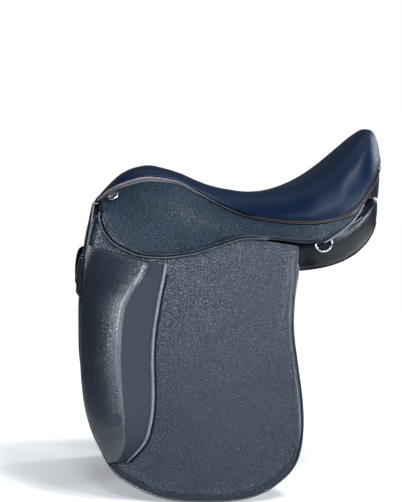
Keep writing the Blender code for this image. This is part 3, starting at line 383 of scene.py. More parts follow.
@dataclass
class LeatherCut:
    """A piece of leather cut to an outline, with a worked border, laid onto any surface.

    Attributes:
        outline: closed outline in the surface's own two directions.
        border: height of the dressed face at given distances from the edge.
        thickness: from the dressed face to the back.
        bare: stretches of the outline without a worked border, as boxes (low corner, high corner).
        holes: closed outlines that are cut out.
        split: a line along which the mesh can be parted.
        step: distance between points along the edge.
        grid: distance between points inside.
        ripple: height of the leather's slow unevenness.
        calm: distance from the edge over which that unevenness grows.
        ease: how far from the split the bend is evened out.
        rounds: how often it is evened out.
        back_edge: how far from the edge the back is rounded, and how deep as a share of the thickness.
    """

    outline: Sequence[Point2]
    border: Sequence[Point2]
    thickness: float
    bare: Sequence[tuple[Point2, Point2]] = ()
    holes: Sequence[Sequence[Point2]] = ()
    split: Optional[tuple[Point2, Point2]] = None
    step: float = 0.004
    grid: float = 0.008
    ripple: float = 0.0
    calm: float = 0.03
    ease: float = 0.07
    rounds: int = 70
    back_edge: Point2 = (0.0015, 0.35)

    def __post_init__(self) -> None:
        """Lay out the points and triangles of the flat piece."""
        self.edge = even_steps(self.outline, self.step, closed=True)
        self.width = self.border[-1][0]
        count = len(self.edge)
        points = [self.edge, *self.border_rings(), self.net()]
        lines = [(k, (k + 1) % count) for k in range(count)]
        for hole in self.holes:
            start = sum(len(p) for p in points)
            points.append(np.array(hole, float))
            lines += [(start + k, start + (k + 1) % len(hole)) for k in range(len(hole))]
        if self.split:
            start = sum(len(p) for p in points)
            line = even_steps(self.split, self.step)
            points.append(line)
            lines += [(start + k, start + k + 1) for k in range(len(line) - 1)]
        flat = [Vector(p) for p in np.concatenate(points)]
        verts, _, faces, *_ = delaunay_2d_cdt(flat, lines, [], 0, 1e-6)
        self.flat = np.array([tuple(v) for v in verts])
        tris = np.array([f for f in faces if len(f) == 3])
        centres = self.flat[tris].mean(axis=1)
        keep = self.inside(centres, self.edge)
        for hole in self.holes:
            keep &= ~self.inside(centres, np.array(hole, float))
        a, b, c = (self.flat[tris[:, k]] for k in range(3))
        size = (b[:, 0] - a[:, 0]) * (c[:, 1] - a[:, 1]) - (b[:, 1] - a[:, 1]) * (c[:, 0] - a[:, 0])
        keep &= abs(size) > 1e-12
        self.tris = np.where((size > 0)[:, None], tris, tris[:, ::-1])[keep]
        self.reach = self.distance(self.flat)
        self.height, self.polish = self.worked_border()

    def border_rings(self) -> list[np.ndarray]:
        """Points of the worked border: the edge moved inwards by each of the border's distances.

        Returns:
            One array for each distance, without the points that come too near another stretch of the edge.
        """
        before, after = np.roll(self.edge, 1, axis=0), np.roll(self.edge, -1, axis=0)
        turn = after - before
        area = float(np.sum(self.edge[:, 0] * after[:, 1] - after[:, 0] * self.edge[:, 1]))
        inwards = np.stack([-turn[:, 1], turn[:, 0]], axis=1) * math.copysign(1.0, area)
        inwards /= np.linalg.norm(inwards, axis=1)[:, None]
        rings = []
        for distance, _ in self.border[1:]:
            ring = self.edge + inwards * distance
            clear = abs(self.distance(ring) - distance) < 1e-4 + 0.05 * distance
            rings.append(ring[clear & self.inside(ring, self.edge)])
        return rings

    def net(self) -> np.ndarray:
        """Square net of points within the border.

        Returns:
            The points.
        """
        low, high = self.edge.min(axis=0), self.edge.max(axis=0)
        across = [np.arange(a + self.grid / 2, b, self.grid) for a, b in zip(low, high)]
        net = np.stack(np.meshgrid(*across), axis=-1).reshape(-1, 2)
        net = net[self.inside(net, self.edge)]
        return net[self.distance(net) > self.width + self.grid / 3]

    def distance(self, points: np.ndarray) -> np.ndarray:
        """Distance of each point from the outline.

        Args:
            points: points in the outline's plane.
        Returns:
            One distance for each.
        """
        start, end = self.edge, np.roll(self.edge, -1, axis=0)
        way = end - start
        least = np.full(len(points), 1e9)
        for s, w in zip(start, way):
            t = np.clip(((points - s) @ w) / max(float(w @ w), 1e-18), 0.0, 1.0)
            least = np.minimum(least, np.linalg.norm(points - s - t[:, None] * w, axis=1))
        return least

    @staticmethod
    def inside(points: np.ndarray, loop: np.ndarray) -> np.ndarray:
        """Which points lie within a closed outline.

        Args:
            points: points to test.
            loop: the outline's corners.
        Returns:
            One truth value for each point.
        """
        hit = np.zeros(len(points), bool)
        for (x0, y0), (x1, y1) in zip(loop, np.roll(loop, -1, axis=0)):
            if y0 == y1:
                continue
            crosses = (points[:, 1] < y0) != (points[:, 1] < y1)
            hit ^= crosses & (points[:, 0] < (x1 - x0) * (points[:, 1] - y0) / (y1 - y0) + x0)
        return hit

    def worked_border(self) -> tuple[np.ndarray, np.ndarray]:
        """What the border is like at each point.

        Returns:
            Height of the dressed face, with the leather's slow unevenness, and how polished the border is.
        """
        shape = Profile(*self.border)
        bare = np.zeros(len(self.edge))
        for low, high in self.bare:
            bare[np.all((self.edge >= low) & (self.edge <= high), axis=1)] = 1.0
        soft = sum(np.roll(bare, k) for k in range(-2, 3)) / 5.0
        height = np.zeros(len(self.flat))
        polish = np.clip(1.15 - self.reach / self.width, 0.0, 1.0)
        for k, (point, reach) in enumerate(zip(self.flat, self.reach)):
            weight = 1.0
            if reach < self.width:
                near = int(np.argmin(np.sum((self.edge - point) ** 2, axis=1)))
                weight = 1.0 - soft[near]
            height[k] = shape(reach) * weight
            polish[k] *= weight
        a, d = self.flat[:, 0], self.flat[:, 1]
        wave = np.sin(a * 31.0 + 1.3) * np.sin(d * 23.0 + 0.4) + 0.6 * np.sin(a * 67.0 + d * 41.0)
        return height + self.ripple * wave * np.clip(self.reach / self.calm, 0.0, 1.0), polish

    def eased(self, normals: np.ndarray) -> np.ndarray:
        """Directions evened out across the split, so that the leather bends without a crease.

        Args:
            normals: directions of the dressed face, one for each point.
        Returns:
            The evened directions.
        """
        a, b, c = self.tris.T
        links = ((a, b), (b, c), (c, a), (b, a), (c, b), (a, c))
        pairs = np.concatenate([np.stack(link, axis=1) for link in links])
        count = np.bincount(pairs[:, 0], minlength=len(normals))[:, None]
        start, end = np.array(self.split, float)
        way = (end - start) / np.linalg.norm(end - start)
        off = abs((self.flat - start) @ np.array([-way[1], way[0]]))
        share = np.clip(1.3 - off / self.ease, 0.0, 1.0) * np.clip(self.reach / self.width - 0.6, 0.0, 1.0)
        for _ in range(self.rounds):
            total = np.zeros_like(normals)
            np.add.at(total, pairs[:, 0], normals[pairs[:, 1]])
            mixed = normals + (total / np.maximum(count, 1) - normals) * share[:, None]
            normals = mixed / np.maximum(np.linalg.norm(mixed, axis=1), 1e-12)[:, None]
        return normals

    def directions(self, top: np.ndarray, low: np.ndarray) -> tuple[np.ndarray, float]:
        """Directions in which the dressed face looks.

        Args:
            top: points of the dressed face.
            low: points of the back.
        Returns:
            One direction for each point, and a number that is positive where the triangles look outwards.
        """
        a, b, c = (top[self.tris[:, k]] for k in range(3))
        faces = np.cross(b - a, c - a)
        normals = np.zeros_like(top)
        for k in range(3):
            np.add.at(normals, self.tris[:, k], faces)
        outwards = float(np.sum(np.einsum("ij,ij->i", normals, top - low)))
        normals *= math.copysign(1.0, outwards)
        normals /= np.maximum(np.linalg.norm(normals, axis=1), 1e-12)[:, None]
        return (self.eased(normals) if self.split else normals), outwards

    def build(self, name: str, place: Place,
              keep: Optional[Callable[[float, float], bool]] = None) -> Thing:
        """Lay the piece onto a surface.

        Args:
            name: the object's name.
            place: gives the point in space for two flat coordinates and a height.
            keep: which triangles to take, by their centre; all when left out.
        Returns:
            The new object, closed, with crisp cut edges.
        """
        rounding, depth = self.back_edge
        back = [depth * self.thickness * max(0.0, 1.0 - r / rounding) ** 2 - self.thickness
                for r in self.reach]
        top = np.array([place(a, d, h) for (a, d), h in zip(self.flat, self.height)])
        low = np.array([place(a, d, h) for (a, d), h in zip(self.flat, back)])
        normals, outwards = self.directions(top, low)
        tris = self.tris if outwards > 0 else self.tris[:, ::-1]
        if keep:
            tris = np.array([t for t in tris if keep(*self.flat[t].mean(axis=0))])
        used = np.unique(tris)
        tris = np.searchsorted(used, tris)
        count = len(used)
        rim = {}
        for a, b, c in tris.tolist():
            for pair in ((a, b), (b, c), (c, a)):
                if pair[::-1] in rim:
                    del rim[pair[::-1]]
                else:
                    rim[pair] = True
        walls = [(b, a, a + count, b + count) for a, b in rim]
        mesh = bpy.data.meshes.new(name)
        mesh.from_pydata(np.concatenate([top[used], low[used]]).tolist(), [],
                         tris.tolist() + (tris[:, ::-1] + count).tolist() + walls)
        mesh.shade_smooth()
        corners = []
        for polygon in mesh.polygons:
            if polygon.index < len(tris):
                corners += [normals[used[v]] for v in polygon.vertices]
            elif polygon.index < 2 * len(tris):
                corners += [-normals[used[v - count]] for v in polygon.vertices]
            else:
                corners += [polygon.normal] * len(polygon.vertices)
        mesh.normals_split_custom_set([tuple(n) for n in corners])
        polish = np.tile(self.polish[used], 2)
        mesh.attributes.new("border", "FLOAT", "POINT").data.foreach_set("value", polish)
        return put(name, mesh)


# Finishes

class Graph:
    """Short way to add nodes to a material."""

    def __init__(self, name: str) -> None:
        """Start an empty material.

        Args:
            name: the material's name.
        """
        self.material = bpy.data.materials.new(name)
        self.material.use_nodes = True
        self.tree = self.material.node_tree
        self.shader = self.tree.nodes["Principled BSDF"]

    def node(self, kind: str, inputs: Optional[dict] = None, **settings) -> bpy.types.Node:
        """Add a node.

        Args:
            kind: the node's type, without its ShaderNode prefix.
            inputs: value or output socket for each named or numbered input.
            settings: the node's own properties.
        Returns:
            The node.
        """
        made = self.tree.nodes.new("ShaderNode" + kind)
        for key, value in settings.items():
            setattr(made, key, value)
        for key, value in (inputs or {}).items():
            if isinstance(value, Socket):
                self.tree.links.new(value, made.inputs[key])
            else:
                made.inputs[key].default_value = value
        return made

    def place(self, scale: Sequence[float]) -> Socket:
        """The point on the object, with each direction scaled."""
        spot = self.node("TexCoord").outputs["Object"]
        return self.node("Mapping", {"Vector": spot, "Scale": tuple(scale)}).outputs["Vector"]

    def noise(self, size: float, detail: float = 3.0, stretch: Sequence[float] = (1, 1, 1)) -> Socket:
        """Soft noise whose spots have about the given size."""
        spot = self.place([s / size for s in stretch])
        return self.node("TexNoise", {"Vector": spot, "Scale": 1.0, "Detail": detail}).outputs["Fac"]

    def ramp(self, value: Socket, low: float, high: float, start: float = 0.0, end: float = 1.0) -> Socket:
        """Value mapped from one span to another, held at its ends."""
        return self.node("MapRange", {0: value, 1: low, 2: high, 3: start, 4: end}).outputs[0]

    def blend(self, share: Socket, one: Socket | Point3, two: Socket | Point3) -> Socket:
        """Colour between two colours.

        Args:
            share: how much of the second colour there is.
            one: the first colour.
            two: the second colour.
        Returns:
            The mixed colour.
        """
        mixed = self.node("Mix", {"Factor": share}, data_type="RGBA")
        for number, colour in ((6, one), (7, two)):
            if isinstance(colour, Socket):
                self.tree.links.new(colour, mixed.inputs[number])
            else:
                mixed.inputs[number].default_value = (*colour, 1.0)
        return mixed.outputs[2]

    def add(self, one: Socket, two: Socket | float, operation: str = "ADD") -> Socket:
        """Two values through a math node."""
        return self.node("Math", {0: one, 1: two}, operation=operation).outputs[0]

    def relief(self, height: Socket, depth: float, under: Optional[Socket] = None) -> Socket:
        """Bump of a real depth in metres, on top of another bump."""
        inputs = {"Height": height, "Distance": depth, "Strength": 1.0} | ({"Normal": under} if under else {})
        return self.node("Bump", inputs).outputs["Normal"]

    def finish(self, **sockets) -> bpy.types.Material:
        """Set or link the shader's inputs.

        Args:
            sockets: value or output socket for each input, with _ for a space in its name.
        Returns:
            The material.
        """
        for key, value in sockets.items():
            socket = self.shader.inputs[key.replace("_", " ")]
            if isinstance(value, Socket):
                self.tree.links.new(value, socket)
            else:
                socket.default_value = value
        return self.material


@dataclass(frozen=True)
class Leather:
    """A leather finish.

    Attributes:
        name: the material's name.
        valley: colour between the grains and in folds.
        top: colour of the grains' tops.
        rough: roughness where it is worn smooth, and where it isn't.
        grain: size of one grain.
        depth: depth of the grain.
        stretch: how much longer the grains are upright than across.
        crease: depth of slow creases.
        shine: strength of the reflection on the surface, where 0.5 is plain leather.
        wobble: size and strength of the bends in the grains' outlines, in grains.
        groove: width of the valleys, in grains.
        pore: size of a pore in grains, and its weight beside the grains.
        patch: size of the patches of wear.
        fold: size of the creases.
        pressed: share of the grain that is left on a worked border, and how the roughness changes there.
    """

    name: str
    valley: Point3
    top: Point3
    rough: Point2
    grain: float
    depth: float
    stretch: float = 1.0
    crease: float = 0.0002
    shine: float = 0.5
    wobble: Point2 = (2.2, 1.1)
    groove: float = 0.20
    pore: Point2 = (0.35, 0.10)
    patch: float = 0.045
    fold: float = 0.018
    pressed: Point2 = (0.12, -0.19)

    def build(self) -> bpy.types.Material:
        """Make the material: pebbled grain, pores, creases, polish and wear.

        Returns:
            The material.
        """
        g = Graph(self.name)
        wide, strong = self.wobble
        place = g.place([1 / (self.grain * wide)] * 3)
        bend = g.node("TexNoise", {"Vector": place, "Scale": 1.0, "Detail": 2.0}).outputs["Color"]
        spot = g.place((1 / self.grain, 1 / self.grain, 1 / (self.grain * self.stretch)))
        moved = g.node("VectorMath", {0: bend, 1: (0.5, 0.5, 0.5)}, operation="SUBTRACT").outputs[0]
        moved = g.node("VectorMath", {0: moved, "Scale": strong}, operation="SCALE").outputs[0]
        spot = g.node("VectorMath", {0: spot, 1: moved}, operation="ADD").outputs[0]
        walls = g.node("TexVoronoi", {"Vector": spot, "Scale": 1.0}, feature="DISTANCE_TO_EDGE")
        pebble = g.node("MapRange", {0: walls.outputs["Distance"], 1: 0.0, 2: self.groove},
                        interpolation_type="SMOOTHSTEP").outputs[0]
        pores = g.noise(self.grain * self.pore[0], 2.0)
        slow = g.noise(self.patch, 3.0)
        folds = g.noise(self.fold, 4.0, (1.0, 1.0, 0.55))
        border = g.node("Attribute", attribute_name="border").outputs["Fac"]
        grain = g.add(pebble, g.ramp(border, 0.0, 1.0, 1.0, self.pressed[0]), "MULTIPLY")
        share = g.add(grain, g.ramp(slow, 0.3, 0.7, 0.7, 1.25), "MULTIPLY")
        colour = g.blend(g.ramp(share, 0.1, 1.1), self.valley, self.top)
        worn = g.ramp(g.node("NewGeometry").outputs["Pointiness"], 0.60, 0.75, 0.0, 0.35)
        lighter = tuple(min(1.0, c * 2.6 + 0.012) for c in self.top)
        colour = g.blend(worn, colour, lighter)
        rough = g.add(g.ramp(slow, 0.3, 0.7, *self.rough), g.ramp(border, 0.0, 1.0, 0.0, self.pressed[1]))
        normal = g.relief(folds, self.crease)
        normal = g.relief(g.add(grain, g.add(pores, self.pore[1], "MULTIPLY")), self.depth, normal)
        return g.finish(Base_Color=colour, Roughness=rough, Normal=normal, Specular_IOR_Level=self.shine)


@dataclass(frozen=True)
class Piping:
    """Leather cord of a seam: lighter towards the front, browner behind."""

    name: str
    front: Point3
    rear: Point3
    turn: Point2 = (-0.12, -0.02)

    def build(self) -> bpy.types.Material:
        """Make the material, with fine creases round the cord.

        Returns:
            The material.
        """
        g = Graph(self.name)
        along = g.node("SeparateXYZ", {0: g.place((1, 1, 1))}).outputs[0]
        share = g.ramp(along, *self.turn)
        base = g.blend(share, self.front, self.rear)
        spots = g.noise(0.006, 3.0)
        darker = tuple(c * 0.55 for c in self.rear)
        colour = g.blend(g.ramp(spots, 0.45, 0.75, 0.0, 0.55), base, darker)
        normal = g.relief(g.noise(0.0012, 2.0), 0.00015)
        return g.finish(Base_Color=colour, Roughness=g.ramp(spots, 0.3, 0.7, 0.34, 0.52), Normal=normal)


@dataclass(frozen=True)
class Metal:
    """A metal finish: its tint, its roughness, and how deep brushing or casting marks are."""

    name: str
    tint: Point3
    rough: Point2
    marks: float
    stretch: Point3 = (1.0, 1.0, 1.0)

    def build(self) -> bpy.types.Material:
        """Make the material, with smudges and fine marks.

        Returns:
            The material.
        """
        g = Graph(self.name)
        smudge = g.noise(0.012, 4.0)
        fine = g.noise(0.0015, 3.0, self.stretch)
        dull = tuple(c * 0.72 for c in self.tint)
        colour = g.blend(g.ramp(smudge, 0.35, 0.75), self.tint, dull)
        rough = g.ramp(smudge, 0.3, 0.75, *self.rough)
        return g.finish(Base_Color=colour, Metallic=1.0, Roughness=rough, Normal=g.relief(fine, self.marks))


@dataclass(frozen=True)
class Webbing:
    """Woven band: colour of the raised and of the sunk threads, and the weave's pitch."""

    name: str
    raised: Point3
    sunk: Point3
    pitch: float

    def build(self) -> bpy.types.Material:
        """Make the material: a herringbone of two crossing sets of threads.

        Returns:
            The material.
        """
        g = Graph(self.name)
        size = 1.0 / self.pitch
        spot = g.place((size, size, size))
        wave = {"Vector": spot, "Scale": 0.32, "Distortion": 0.6}
        sets = [g.node("TexWave", wave, bands_direction=way).outputs["Fac"] for way in ("DIAGONAL", "X")]
        weave = g.add(*sets, "MULTIPLY")
        dirt = g.noise(0.03, 4.0)
        colour = g.blend(g.ramp(weave, 0.05, 0.7), self.sunk, self.raised)
        colour = g.blend(g.ramp(dirt, 0.45, 0.8, 0.0, 0.35), colour, self.sunk)
        return g.finish(Base_Color=colour, Roughness=0.85, Normal=g.relief(weave, 0.0003))


@dataclass(frozen=True)
class Laminate:
    """Lacquered wood laminate of the tree: colour of its light and its dark grain."""

    name: str
    light: Point3
    dark: Point3

    def build(self) -> bpy.types.Material:
        """Make the material: long grain in the veneer, under a worn lacquer.

        Returns:
            The material.
        """
        g = Graph(self.name)
        grain = g.noise(0.004, 5.0, (0.08, 1.0, 1.0))
        colour = g.blend(g.ramp(grain, 0.35, 0.7), self.light, self.dark)
        rough = g.ramp(g.noise(0.03), 0.3, 0.7, 0.38, 0.6)
        return g.finish(Base_Color=colour, Roughness=rough, Normal=g.relief(grain, 0.0001))


@dataclass(frozen=True)
class Thread:
    """Waxed thread: its colour and the darker one of its twist."""

    name: str
    colour: Point3

    def build(self) -> bpy.types.Material:
        """Make the material, twisted and a little soiled.

        Returns:
            The material.
        """
        g = Graph(self.name)
        twist = g.noise(0.0006, 2.0, (1.0, 1.0, 0.4))
        darker = tuple(c * 0.5 for c in self.colour)
        colour = g.blend(g.ramp(twist, 0.4, 0.65), self.colour, darker)
        return g.finish(Base_Color=colour, Roughness=0.6, Normal=g.relief(twist, 0.0001))


class Finish(Enum):
    """All the finishes of the saddle."""

    SEAT = Leather("seat_leather", (0.0014, 0.0070, 0.0220), (0.0022, 0.0110, 0.0340), (0.33, 0.41),
                   grain=0.0013, depth=0.00005, crease=0.00008, shine=0.18)
    SKIRT = Leather("skirt_leather", (0.003, 0.007, 0.014), (0.015, 0.030, 0.054), (0.34, 0.43),
                    grain=0.0038, depth=0.0004, stretch=1.3, shine=0.28)
    FLAP = Leather("flap_leather", (0.010, 0.015, 0.024), (0.026, 0.036, 0.056), (0.33, 0.39),
                   grain=0.0034, depth=0.0005, stretch=1.45, shine=0.43)
    BLOCK = Leather("block_leather", (0.005, 0.009, 0.015), (0.012, 0.020, 0.032), (0.27, 0.34),
                    grain=0.0036, depth=0.00012, stretch=1.1, shine=1.0)
    BLOCK_REAR = Leather("block_smooth_leather", (0.018, 0.025, 0.034), (0.026, 0.034, 0.046), (0.40, 0.50),
                         grain=0.0012, depth=0.00005, crease=0.00012, shine=0.15)
    SMOOTH = Leather("waxed_hide", (0.0022, 0.0034, 0.0055), (0.0040, 0.0060, 0.0095), (0.17, 0.22),
                     grain=0.0014, depth=0.00003, crease=0.00006, shine=0.3)
    EDGE = Leather("binding_hide", (0.0030, 0.0038, 0.006), (0.006, 0.0075, 0.011), (0.35, 0.45),
                   grain=0.0012, depth=0.00008, shine=0.12)
    STRAP = Leather("strap_hide", (0.008, 0.009, 0.012), (0.020, 0.022, 0.028), (0.42, 0.55),
                    grain=0.0015, depth=0.00012)
    WELT = Piping("welt_leather", (0.235, 0.185, 0.195), (0.060, 0.042, 0.036))
    RIM = Piping("rim_leather", (0.26, 0.25, 0.28), (0.15, 0.14, 0.16), (-0.20, 0.05))
    ROLL = Piping("roll_leather", (0.080, 0.082, 0.086), (0.030, 0.034, 0.042))
    # Pale grey bead leather: on the skirt's lobe its lightness is partly real rubbing and partly painted
    # highlight along the lower edge; on the flap it is the edge binding's colour.
    BEAD = Piping("highlit_bead_leather", (0.085, 0.092, 0.10), (0.065, 0.070, 0.078))
    BLOCK_PIPING = Piping("block_piping_leather", (0.15, 0.165, 0.18), (0.10, 0.11, 0.12))
    STEEL = Metal("brushed_steel", (0.46, 0.47, 0.49), (0.28, 0.45), 0.00006, (0.15, 1.0, 1.0))
    CHROME = Metal("polished_chrome", (0.82, 0.83, 0.85), (0.06, 0.16), 0.00001)
    WEB = Webbing("girth_webbing", (0.42, 0.38, 0.30), (0.16, 0.14, 0.10), 0.0016)
    WOOD = Laminate("lacquered_wood", (0.30, 0.19, 0.10), (0.13, 0.075, 0.04))
    TAN_THREAD = Thread("tan_thread", (0.30, 0.21, 0.16))
    GREY_THREAD = Thread("grey_thread", (0.22, 0.22, 0.25))

    def material(self) -> bpy.types.Material:
        """This finish's material, made when it is first asked for."""
        return bpy.data.materials.get(self.value.name) or self.value.build()


def dress(thing: Thing, finish: Finish, body: str, slot: Optional[str] = None,
          replaces: Sequence[str] = ()) -> Thing:
    """Give a new piece its finish and tie it to the frame.

    Args:
        thing: the piece.
        finish: its finish.
        body: the body that it moves with.
        slot: the record's material slot; not used.
        replaces: the nodes that it stands for.
    Returns:
        The piece.
    """
    thing.data.materials.clear()
    thing.data.materials.append(finish.material())
    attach(thing, body)
    if replaces:
        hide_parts(*replaces)
    return thing


# Clearances, and the layers of skirt and flap, measured out from the bend line

TOUCH = 0.0003
TRIM_LIFT = 0.0001
SOFT_TOUCH = 0.0006
RUNNING = 0.0004
WELT_RADIUS = 0.0016
SKIRT_THICKNESS = 0.004
FLAP_THICKNESS = 0.0045
SWEAT_THICKNESS = 0.003
FLAP_FACE = -0.0045
FLAP_BACK = FLAP_FACE - FLAP_THICKNESS
SWEAT_FACE = -0.0165
SWEAT_BACK = SWEAT_FACE - SWEAT_THICKNESS
BAR_WINDOW = ((0.050, 0.004), (0.164, 0.004), (0.164, 0.031), (0.050, 0.031))

# The arch's front leans forward below this height, and the panels follow it at the front of their span

ARCH_HEIGHT = 0.046
ARCH_SLOPE = 0.18
ARCH_SPAN = (-0.222, -0.100)


def arch_lean(z: float) -> float:
    """How far the arch's front stands forward at a height."""
    return ARCH_SLOPE * (ARCH_HEIGHT - z)


@dataclass
class Bend:
    """One side's bend line, with the directions along it, down the flap and out of the flap.

    Attributes:
        side: the saddle's side.
        start: front end of the line on the far side.
        end: rear end of the line on the far side.
        splay: lean of the flap out of the upright, in degrees.
    """

    side: Side
    start: Point3 = (-0.213, 0.102, 0.033)
    end: Point3 = (0.095, 0.145, -0.015)
    splay: float = 14.6

    def __post_init__(self) -> None:
        """Work out the directions."""
        sign = self.side.sign
        self.front, rear = (Vector((x, sign * y, z)) for x, y, z in (self.start, self.end))
        lean = math.radians(self.splay)
        self.along = (rear - self.front).normalized()
        fall = Vector((0.0, sign * math.sin(lean), -math.cos(lean)))
        self.down = (fall - self.along * fall.dot(self.along)).normalized()
        self.out = sign * self.along.cross(self.down)

    def point(self, along: float, down: float, out: float) -> Vector:
        """Point at distances along, down and out from the line's front end."""
        return self.front + self.along * along + self.down * down + self.out * out

    def share(self, x: float) -> float:
        """Distance along the line of the point with the given X."""
        return (x - self.front.x) / self.along.x

    def face(self, out: float) -> Place:
        """Placing function for a piece whose dressed face lies at a distance out and looks outwards."""
        return lambda a, d, h: self.point(a, d, out + h)

    def back_face(self, out: float) -> Place:
        """Placing function for a piece whose dressed face looks inwards, to the horse."""
        return lambda a, d, h: self.point(a, d, out - h)


BENDS = {side: Bend(side) for side in Side}


@dataclass(frozen=True)
class SeatForm:
    """Outline and height of the seat along the saddle, and the skirt's outer face below its seam."""

    front: float = -0.222
    rear: float = 0.2505
    lean: float = 0.003
    power: float = 2.3
    dish: float = 0.004
    dish_reach: float = 0.62
    dish_rise: float = 0.060
    dish_end: float = 0.235
    dish_fall: float = 0.055
    skirt_front: float = -0.2165
    skirt_rear: float = 0.206
    bend_end: float = 0.056
    bend_fade: float = 0.05
    bulge: float = 0.004
    bulge_run: float = 0.06
    half: Profile = Profile(
        (-0.222, 0.044), (-0.212, 0.053), (-0.197, 0.058), (-0.170, 0.062), (-0.134, 0.064), (-0.090, 0.066),
        (-0.045, 0.071), (0.000, 0.084), (0.045, 0.108), (0.090, 0.131), (0.130, 0.143), (0.165, 0.141),
        (0.197, 0.127), (0.221, 0.104), (0.238, 0.074), (0.247, 0.046), (0.2505, 0.032))
    seam: Profile = Profile(
        (-0.222, 0.046), (-0.197, 0.068), (-0.173, 0.079), (-0.137, 0.087), (-0.092, 0.081), (-0.053, 0.061),
        (-0.012, 0.039), (0.025, 0.0245), (0.055, 0.019), (0.086, 0.0155), (0.115, 0.015), (0.150, 0.0192),
        (0.170, 0.0245), (0.186, 0.0325), (0.200, 0.0435), (0.211, 0.0555), (0.231, 0.082), (0.240, 0.096),
        (0.2505, 0.108))
    crest: Profile = Profile(
        (-0.222, 0.049), (-0.208, 0.0655), (-0.188, 0.086), (-0.175, 0.096), (-0.153, 0.105), (-0.133, 0.108),
        (-0.107, 0.103), (-0.081, 0.095), (-0.054, 0.083), (-0.027, 0.0735), (0.000, 0.068), (0.027, 0.066),
        (0.054, 0.068), (0.081, 0.074), (0.107, 0.084), (0.134, 0.099), (0.161, 0.119), (0.188, 0.142),
        (0.215, 0.163), (0.228, 0.169), (0.238, 0.167), (0.245, 0.158), (0.249, 0.146), (0.2505, 0.132))
    low_edge: Profile = Profile(
        (0.056, -0.0095), (0.075, -0.0125), (0.104, -0.016), (0.133, -0.016), (0.149, -0.008), (0.176, 0.010),
        (0.197, 0.032), (0.206, 0.046))
    low_width: Profile = Profile(
        (-0.213, 0.102), (0.056, 0.1395), (0.095, 0.145), (0.120, 0.150), (0.133, 0.151), (0.150, 0.150),
        (0.176, 0.145), (0.197, 0.133), (0.206, 0.125))

    def point(self, x: float, t: float) -> Vector:
        """Point of the seat's skin, with the hollow along its middle.

        Args:
            x: place along the saddle.
            t: place across, from -1 at the near seam to 1 at the far seam.
        Returns:
            The point.
        """
        seam = self.seam(x)
        crown = max(0.0, 1.0 - abs(t) ** self.power) ** (1.0 / self.power)
        along = max(0.0, min(x / self.dish_rise, 1.0, (self.dish_end - x) / self.dish_fall))
        hollow = self.dish * along * max(0.0, 1 - (t / self.dish_reach) ** 2) ** 2
        return Vector((x, self.half(x) * t, seam + (self.crest(x) - seam) * crown - hollow))

    def plan_normal(self, x: float) -> Vector:
        """Direction in plan, on the far side, in which the seat's outline faces."""
        return Vector((-self.half.slope(x), 1.0, 0.0)).normalized()

    def seam_spot(self, sign: int, x: float, out: float, lift: float) -> Vector:
        """Point beside the seam.

        Args:
            sign: the side's sign of Y.
            x: place along the saddle.
            out: distance out from the seam, in plan.
            lift: height above the seam.
        Returns:
            The point.
        """
        edge = Vector((min(x, self.rear - self.lean), self.half(x), self.seam(x) + lift))
        spot = edge + self.plan_normal(x) * out
        return Vector((spot.x, sign * spot.y, spot.z))

    def below_welt(self, x: float) -> float:
        """Height at which skirt and facing end below the welt."""
        return self.seam(x) - (WELT_RADIUS + SOFT_TOUCH) * math.hypot(1.0, self.seam.slope(x))

    def skirt_run(self, side: Side, x: float) -> tuple[Vector, Vector]:
        """Course of the skirt at one station.

        Args:
            side: the saddle's side.
            x: place along the saddle.
        Returns:
            The skirt's upper end, and the way from there to its lower edge or bend line.
        """
        head = Vector((x, side.sign * (self.half(x) + 2 * WELT_RADIUS), self.below_welt(x)))
        if x <= self.bend_end:
            return head, BENDS[side].point(BENDS[side].share(x), 0.0, 0.0) - head
        return head, Vector((x, side.sign * self.low_width(x), self.low_edge(x))) - head

    def skirt_point(self, side: Side, x: float, v: float, depth: float = 0.0) -> Vector:
        """Point on the skirt's outer face, or below it.

        Args:
            side: the saddle's side.
            x: place along the saddle.
            v: place across, from 0 at the seam to 1 at the lower edge.
            depth: distance below the face.
        Returns:
            The point.
        """
        head, run = self.skirt_run(side, x)
        normal = Vector((0.0, -side.sign * run.z, abs(run.y))).normalized()
        bulge = self.bulge * math.sin(math.pi * v) * min(1.0, run.length / self.bulge_run)
        follow = v * max(0.0, min(1.0, 1 - (x - self.bend_end) / self.bend_fade))
        inwards = -normal.lerp(BENDS[side].out, follow).normalized()
        return head + run * v + normal * bulge + inwards * depth


FORM = SeatForm()


# Pieces

